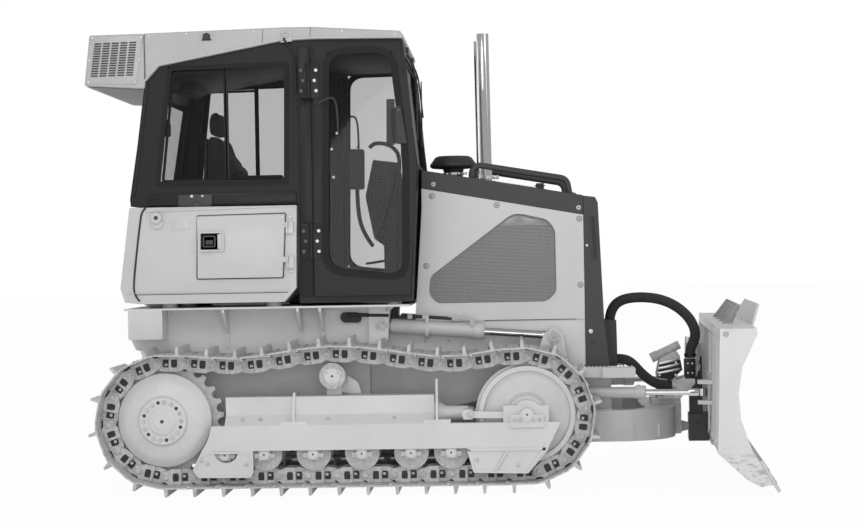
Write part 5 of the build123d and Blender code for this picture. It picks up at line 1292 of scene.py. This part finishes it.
class DOZER_OT_linkage(bpy.types.Operator):
    """Adds pipes, clamps, glands and grease points to the cylinders, the C-frame and the manifold"""
    bl_idname = "dozer.linkage"
    bl_label = "Linkage"

    def execute(self, context):
        pipe, band = shapes(2)
        pipe.tube(in_plane(LIFT_PIPE_Y, (1456, 1037), (1482, 1038), (1520, 1036), (1640, 1028),
            (1730, 1020)), 11)
        band.tube(in_plane(LIFT_PIPE_Y, (1700, 1025), (1755, 1022), (1826, 1019), (1850, 1010),
            (1854, 975)), 9)
        for x, z in ((1470, 1037), (1560, 1034), (1742, 1022), (1800, 1020)):
            band.disc(at(x, LIFT_PIPE_Y, z), 17, 14, 6, (1, 0, -0.06), foot=-14)
        band.disc(at(1854, LIFT_PIPE_Y, 985), 20, 26, 6, UP, foot=-20)
        band.hoop(at(1575, -500, 950.6), 45, 51, -11, 11, 36, (1, 0, -0.0315))
        band.hoop(at(1916, -500, 939.5), 38, 52, -10, 8, 36, (1, 0, -0.0315))
        band.bar(1564, 1586, -542, -520, 990, 1046, 3)
        on_both(pipe, "lift_pipes", "rubber", "lift_barrel")
        on_both(band, "lift_bands", "pale_low", "lift_barrel")
        ports = Shape()
        gland = (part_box("angle_barrel_right")[1].x - DRIVE_X) * 1000
        ports.bar(gland - 66, gland - 30, -582, -548, 572, 594, 4)
        ports.stud(at(gland - 48, -565, 594), 12, 5, UP)
        ports.bar(gland - 26, gland - 8, -578, -552, 578, 594, 3)
        on_both(ports, "angle_ports", "pale_low", "angle_barrel")
        slots, caps, bolts = shapes(3)
        for x in (2832, 2989):
            ends = [seat("c_frame", at(x, -3000, z))[0] for z in (270, 352)]
            slots.tube([ends[0], (ends[0] + ends[1]) / 2, ends[1]], 8)
        face = seat("c_frame", at(2352, 0, 905))[0].y * 1000
        caps.turn(((0, -2), (40, -2), (40, 4), (33, 8), (27, 8), (25, 4), (17, 4), (15, 10), (0, 10)),
            at(2352, face, 905), OUT, 36)
        bolts.stud(at(2352, face - 9, 905), 9, 7)
        for shape, name, finish in ((slots, "frame_slots", "pale_paint"),
                (caps, "pin_caps", "cast_paint"), (bolts, "frame_bolts", "cast_paint")):
            shape.mirrored().piece(name, finish, "push_frame")
        # ribs and bolts on the manifold, the clamp on the hose and the bent pipe beside it
        ribs, dark = shapes(2)
        dark.outline(((3016, 606), (3110, 588), (3178, 652), (3166, 716), (3034, 706)), (-45, -48))
        for i in range(3):
            ribs.outline(((3014 + 4 * i, 622 + 31 * i), (3168 - 6 * i, 650 + 31 * i),
                (3166 - 6 * i, 670 + 31 * i), (3018 + 4 * i, 641 + 31 * i)), (-46, -66), edge=7)
        ribs.seated("hose_manifold", ((3032, 620), (3134, 620), (3136, 700), (3040, 700)), 9, 7)
        ribs.seated("hose_manifold", ((3200, 640), (3228, 640), (3200, 700), (3228, 700)), 7, 6)
        ribs.tube(in_plane(HOSE_Y, (3238, 696), (3250, 706), (3260, 694), (3264, 664), (3258, 634),
            (3248, 616), (3236, 612)), 8)
        dark.hoop(at(3218, HOSE_Y, 752), 32, 38, -9, 9, 32)
        dark.hoop(at(3082, HOSE_Y, 562), 31, 37, -9, 9, 32, (1, 0, 0))
        dark.bar(3180, 3248, -176, -114, 604, 730, 3)
        ribs.piece("manifold_fittings", "zinc", "push_frame")
        dark.piece("hose_clamps", "black_paint", "push_frame")
        grease = Shape()
        # painted shade: a dark disc in the ball block's grease hole
        grease.disc(at(3262, -88.5, 318), 11, 1, 18)
        grease.piece("grease_hole_shade", "rubber", "ball_block")
        return {"FINISHED"}


# the hoses' routes, as (x, z) in the plane that both lie in
UPPER_HOSE = ((2712, 900), (2712, 962), (2721, 1026), (2750, 1080), (2802, 1111), (2872, 1122),
    (2955, 1121), (3042, 1106), (3124, 1070), (3194, 1014), (3239, 950), (3256, 886), (3242, 832),
    (3218, 790), (3218, 735))
LOWER_HOSE = ((2757, 735), (2808, 735), (2858, 702), (2910, 640), (2972, 588), (3036, 562), (3100, 562))


class DOZER_OT_hoses(bpy.types.Operator):
    """Lays the two sleeved hose bundles from the radiator guard to the manifold"""
    bl_idname = "dozer.hoses"
    bl_label = "Hoses"

    def execute(self, context):
        for name, route, across in (("upper_hose", UPPER_HOSE, 0.064),
                ("lower_hose", LOWER_HOSE, 0.062)):
            places = [at(x, HOSE_Y, z) for x, z in route]
            mesh = curve_mesh(places, across * 500, 28)
            path = [v.co.copy() for v in curve_mesh(places).vertices]
            mesh.materials.append(FINISHES["hose_sleeve"])
            mesh.shade_smooth()
            hose = bpy.data.objects.new(name + "_sleeve", mesh)
            context.scene.collection.objects.link(hose)
            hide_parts(name)
            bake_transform(hose)
        return {"FINISHED"}


STEPS = [DOZER_OT_stage, DOZER_OT_finishes, DOZER_OT_hoses, DOZER_OT_bodywork, DOZER_OT_chains,
    DOZER_OT_roof, DOZER_OT_cab, DOZER_OT_seat, DOZER_OT_hood, DOZER_OT_undercarriage, DOZER_OT_fenders,
    DOZER_OT_blade, DOZER_OT_linkage]
GROUPS = {"dozer_paint": DozerPaint, "dozer_track": DozerTrack, "dozer_stage": DozerStage}


class DOZER_PT_panel(bpy.types.Panel):
    """Lists the dozer's sizes and the steps that build it"""
    bl_idname = "DOZER_PT_panel"
    bl_label = "Dozer"
    bl_space_type = "VIEW_3D"
    bl_region_type = "UI"
    bl_category = "Dozer"

    def draw(self, context):
        for name, group in GROUPS.items():
            box = self.layout.box()
            box.label(text=group.__doc__)
            for field in group.__annotations__:
                box.prop(getattr(context.scene, name), field)
        for step in STEPS:
            self.layout.operator(step.bl_idname)


def register():
    for cls in (*GROUPS.values(), *STEPS, DOZER_PT_panel):
        bpy.utils.register_class(cls)
    for name, group in GROUPS.items():
        setattr(bpy.types.Scene, name, PointerProperty(type=group))


def unregister():
    for name in GROUPS:
        delattr(bpy.types.Scene, name)
    for cls in reversed((*GROUPS.values(), *STEPS, DOZER_PT_panel)):
        bpy.utils.unregister_class(cls)


def main():
    register()
    for step in STEPS:
        group, name = step.bl_idname.split(".")
        getattr(getattr(bpy.ops, group), name)()


if __name__ == "__main__":
    main()
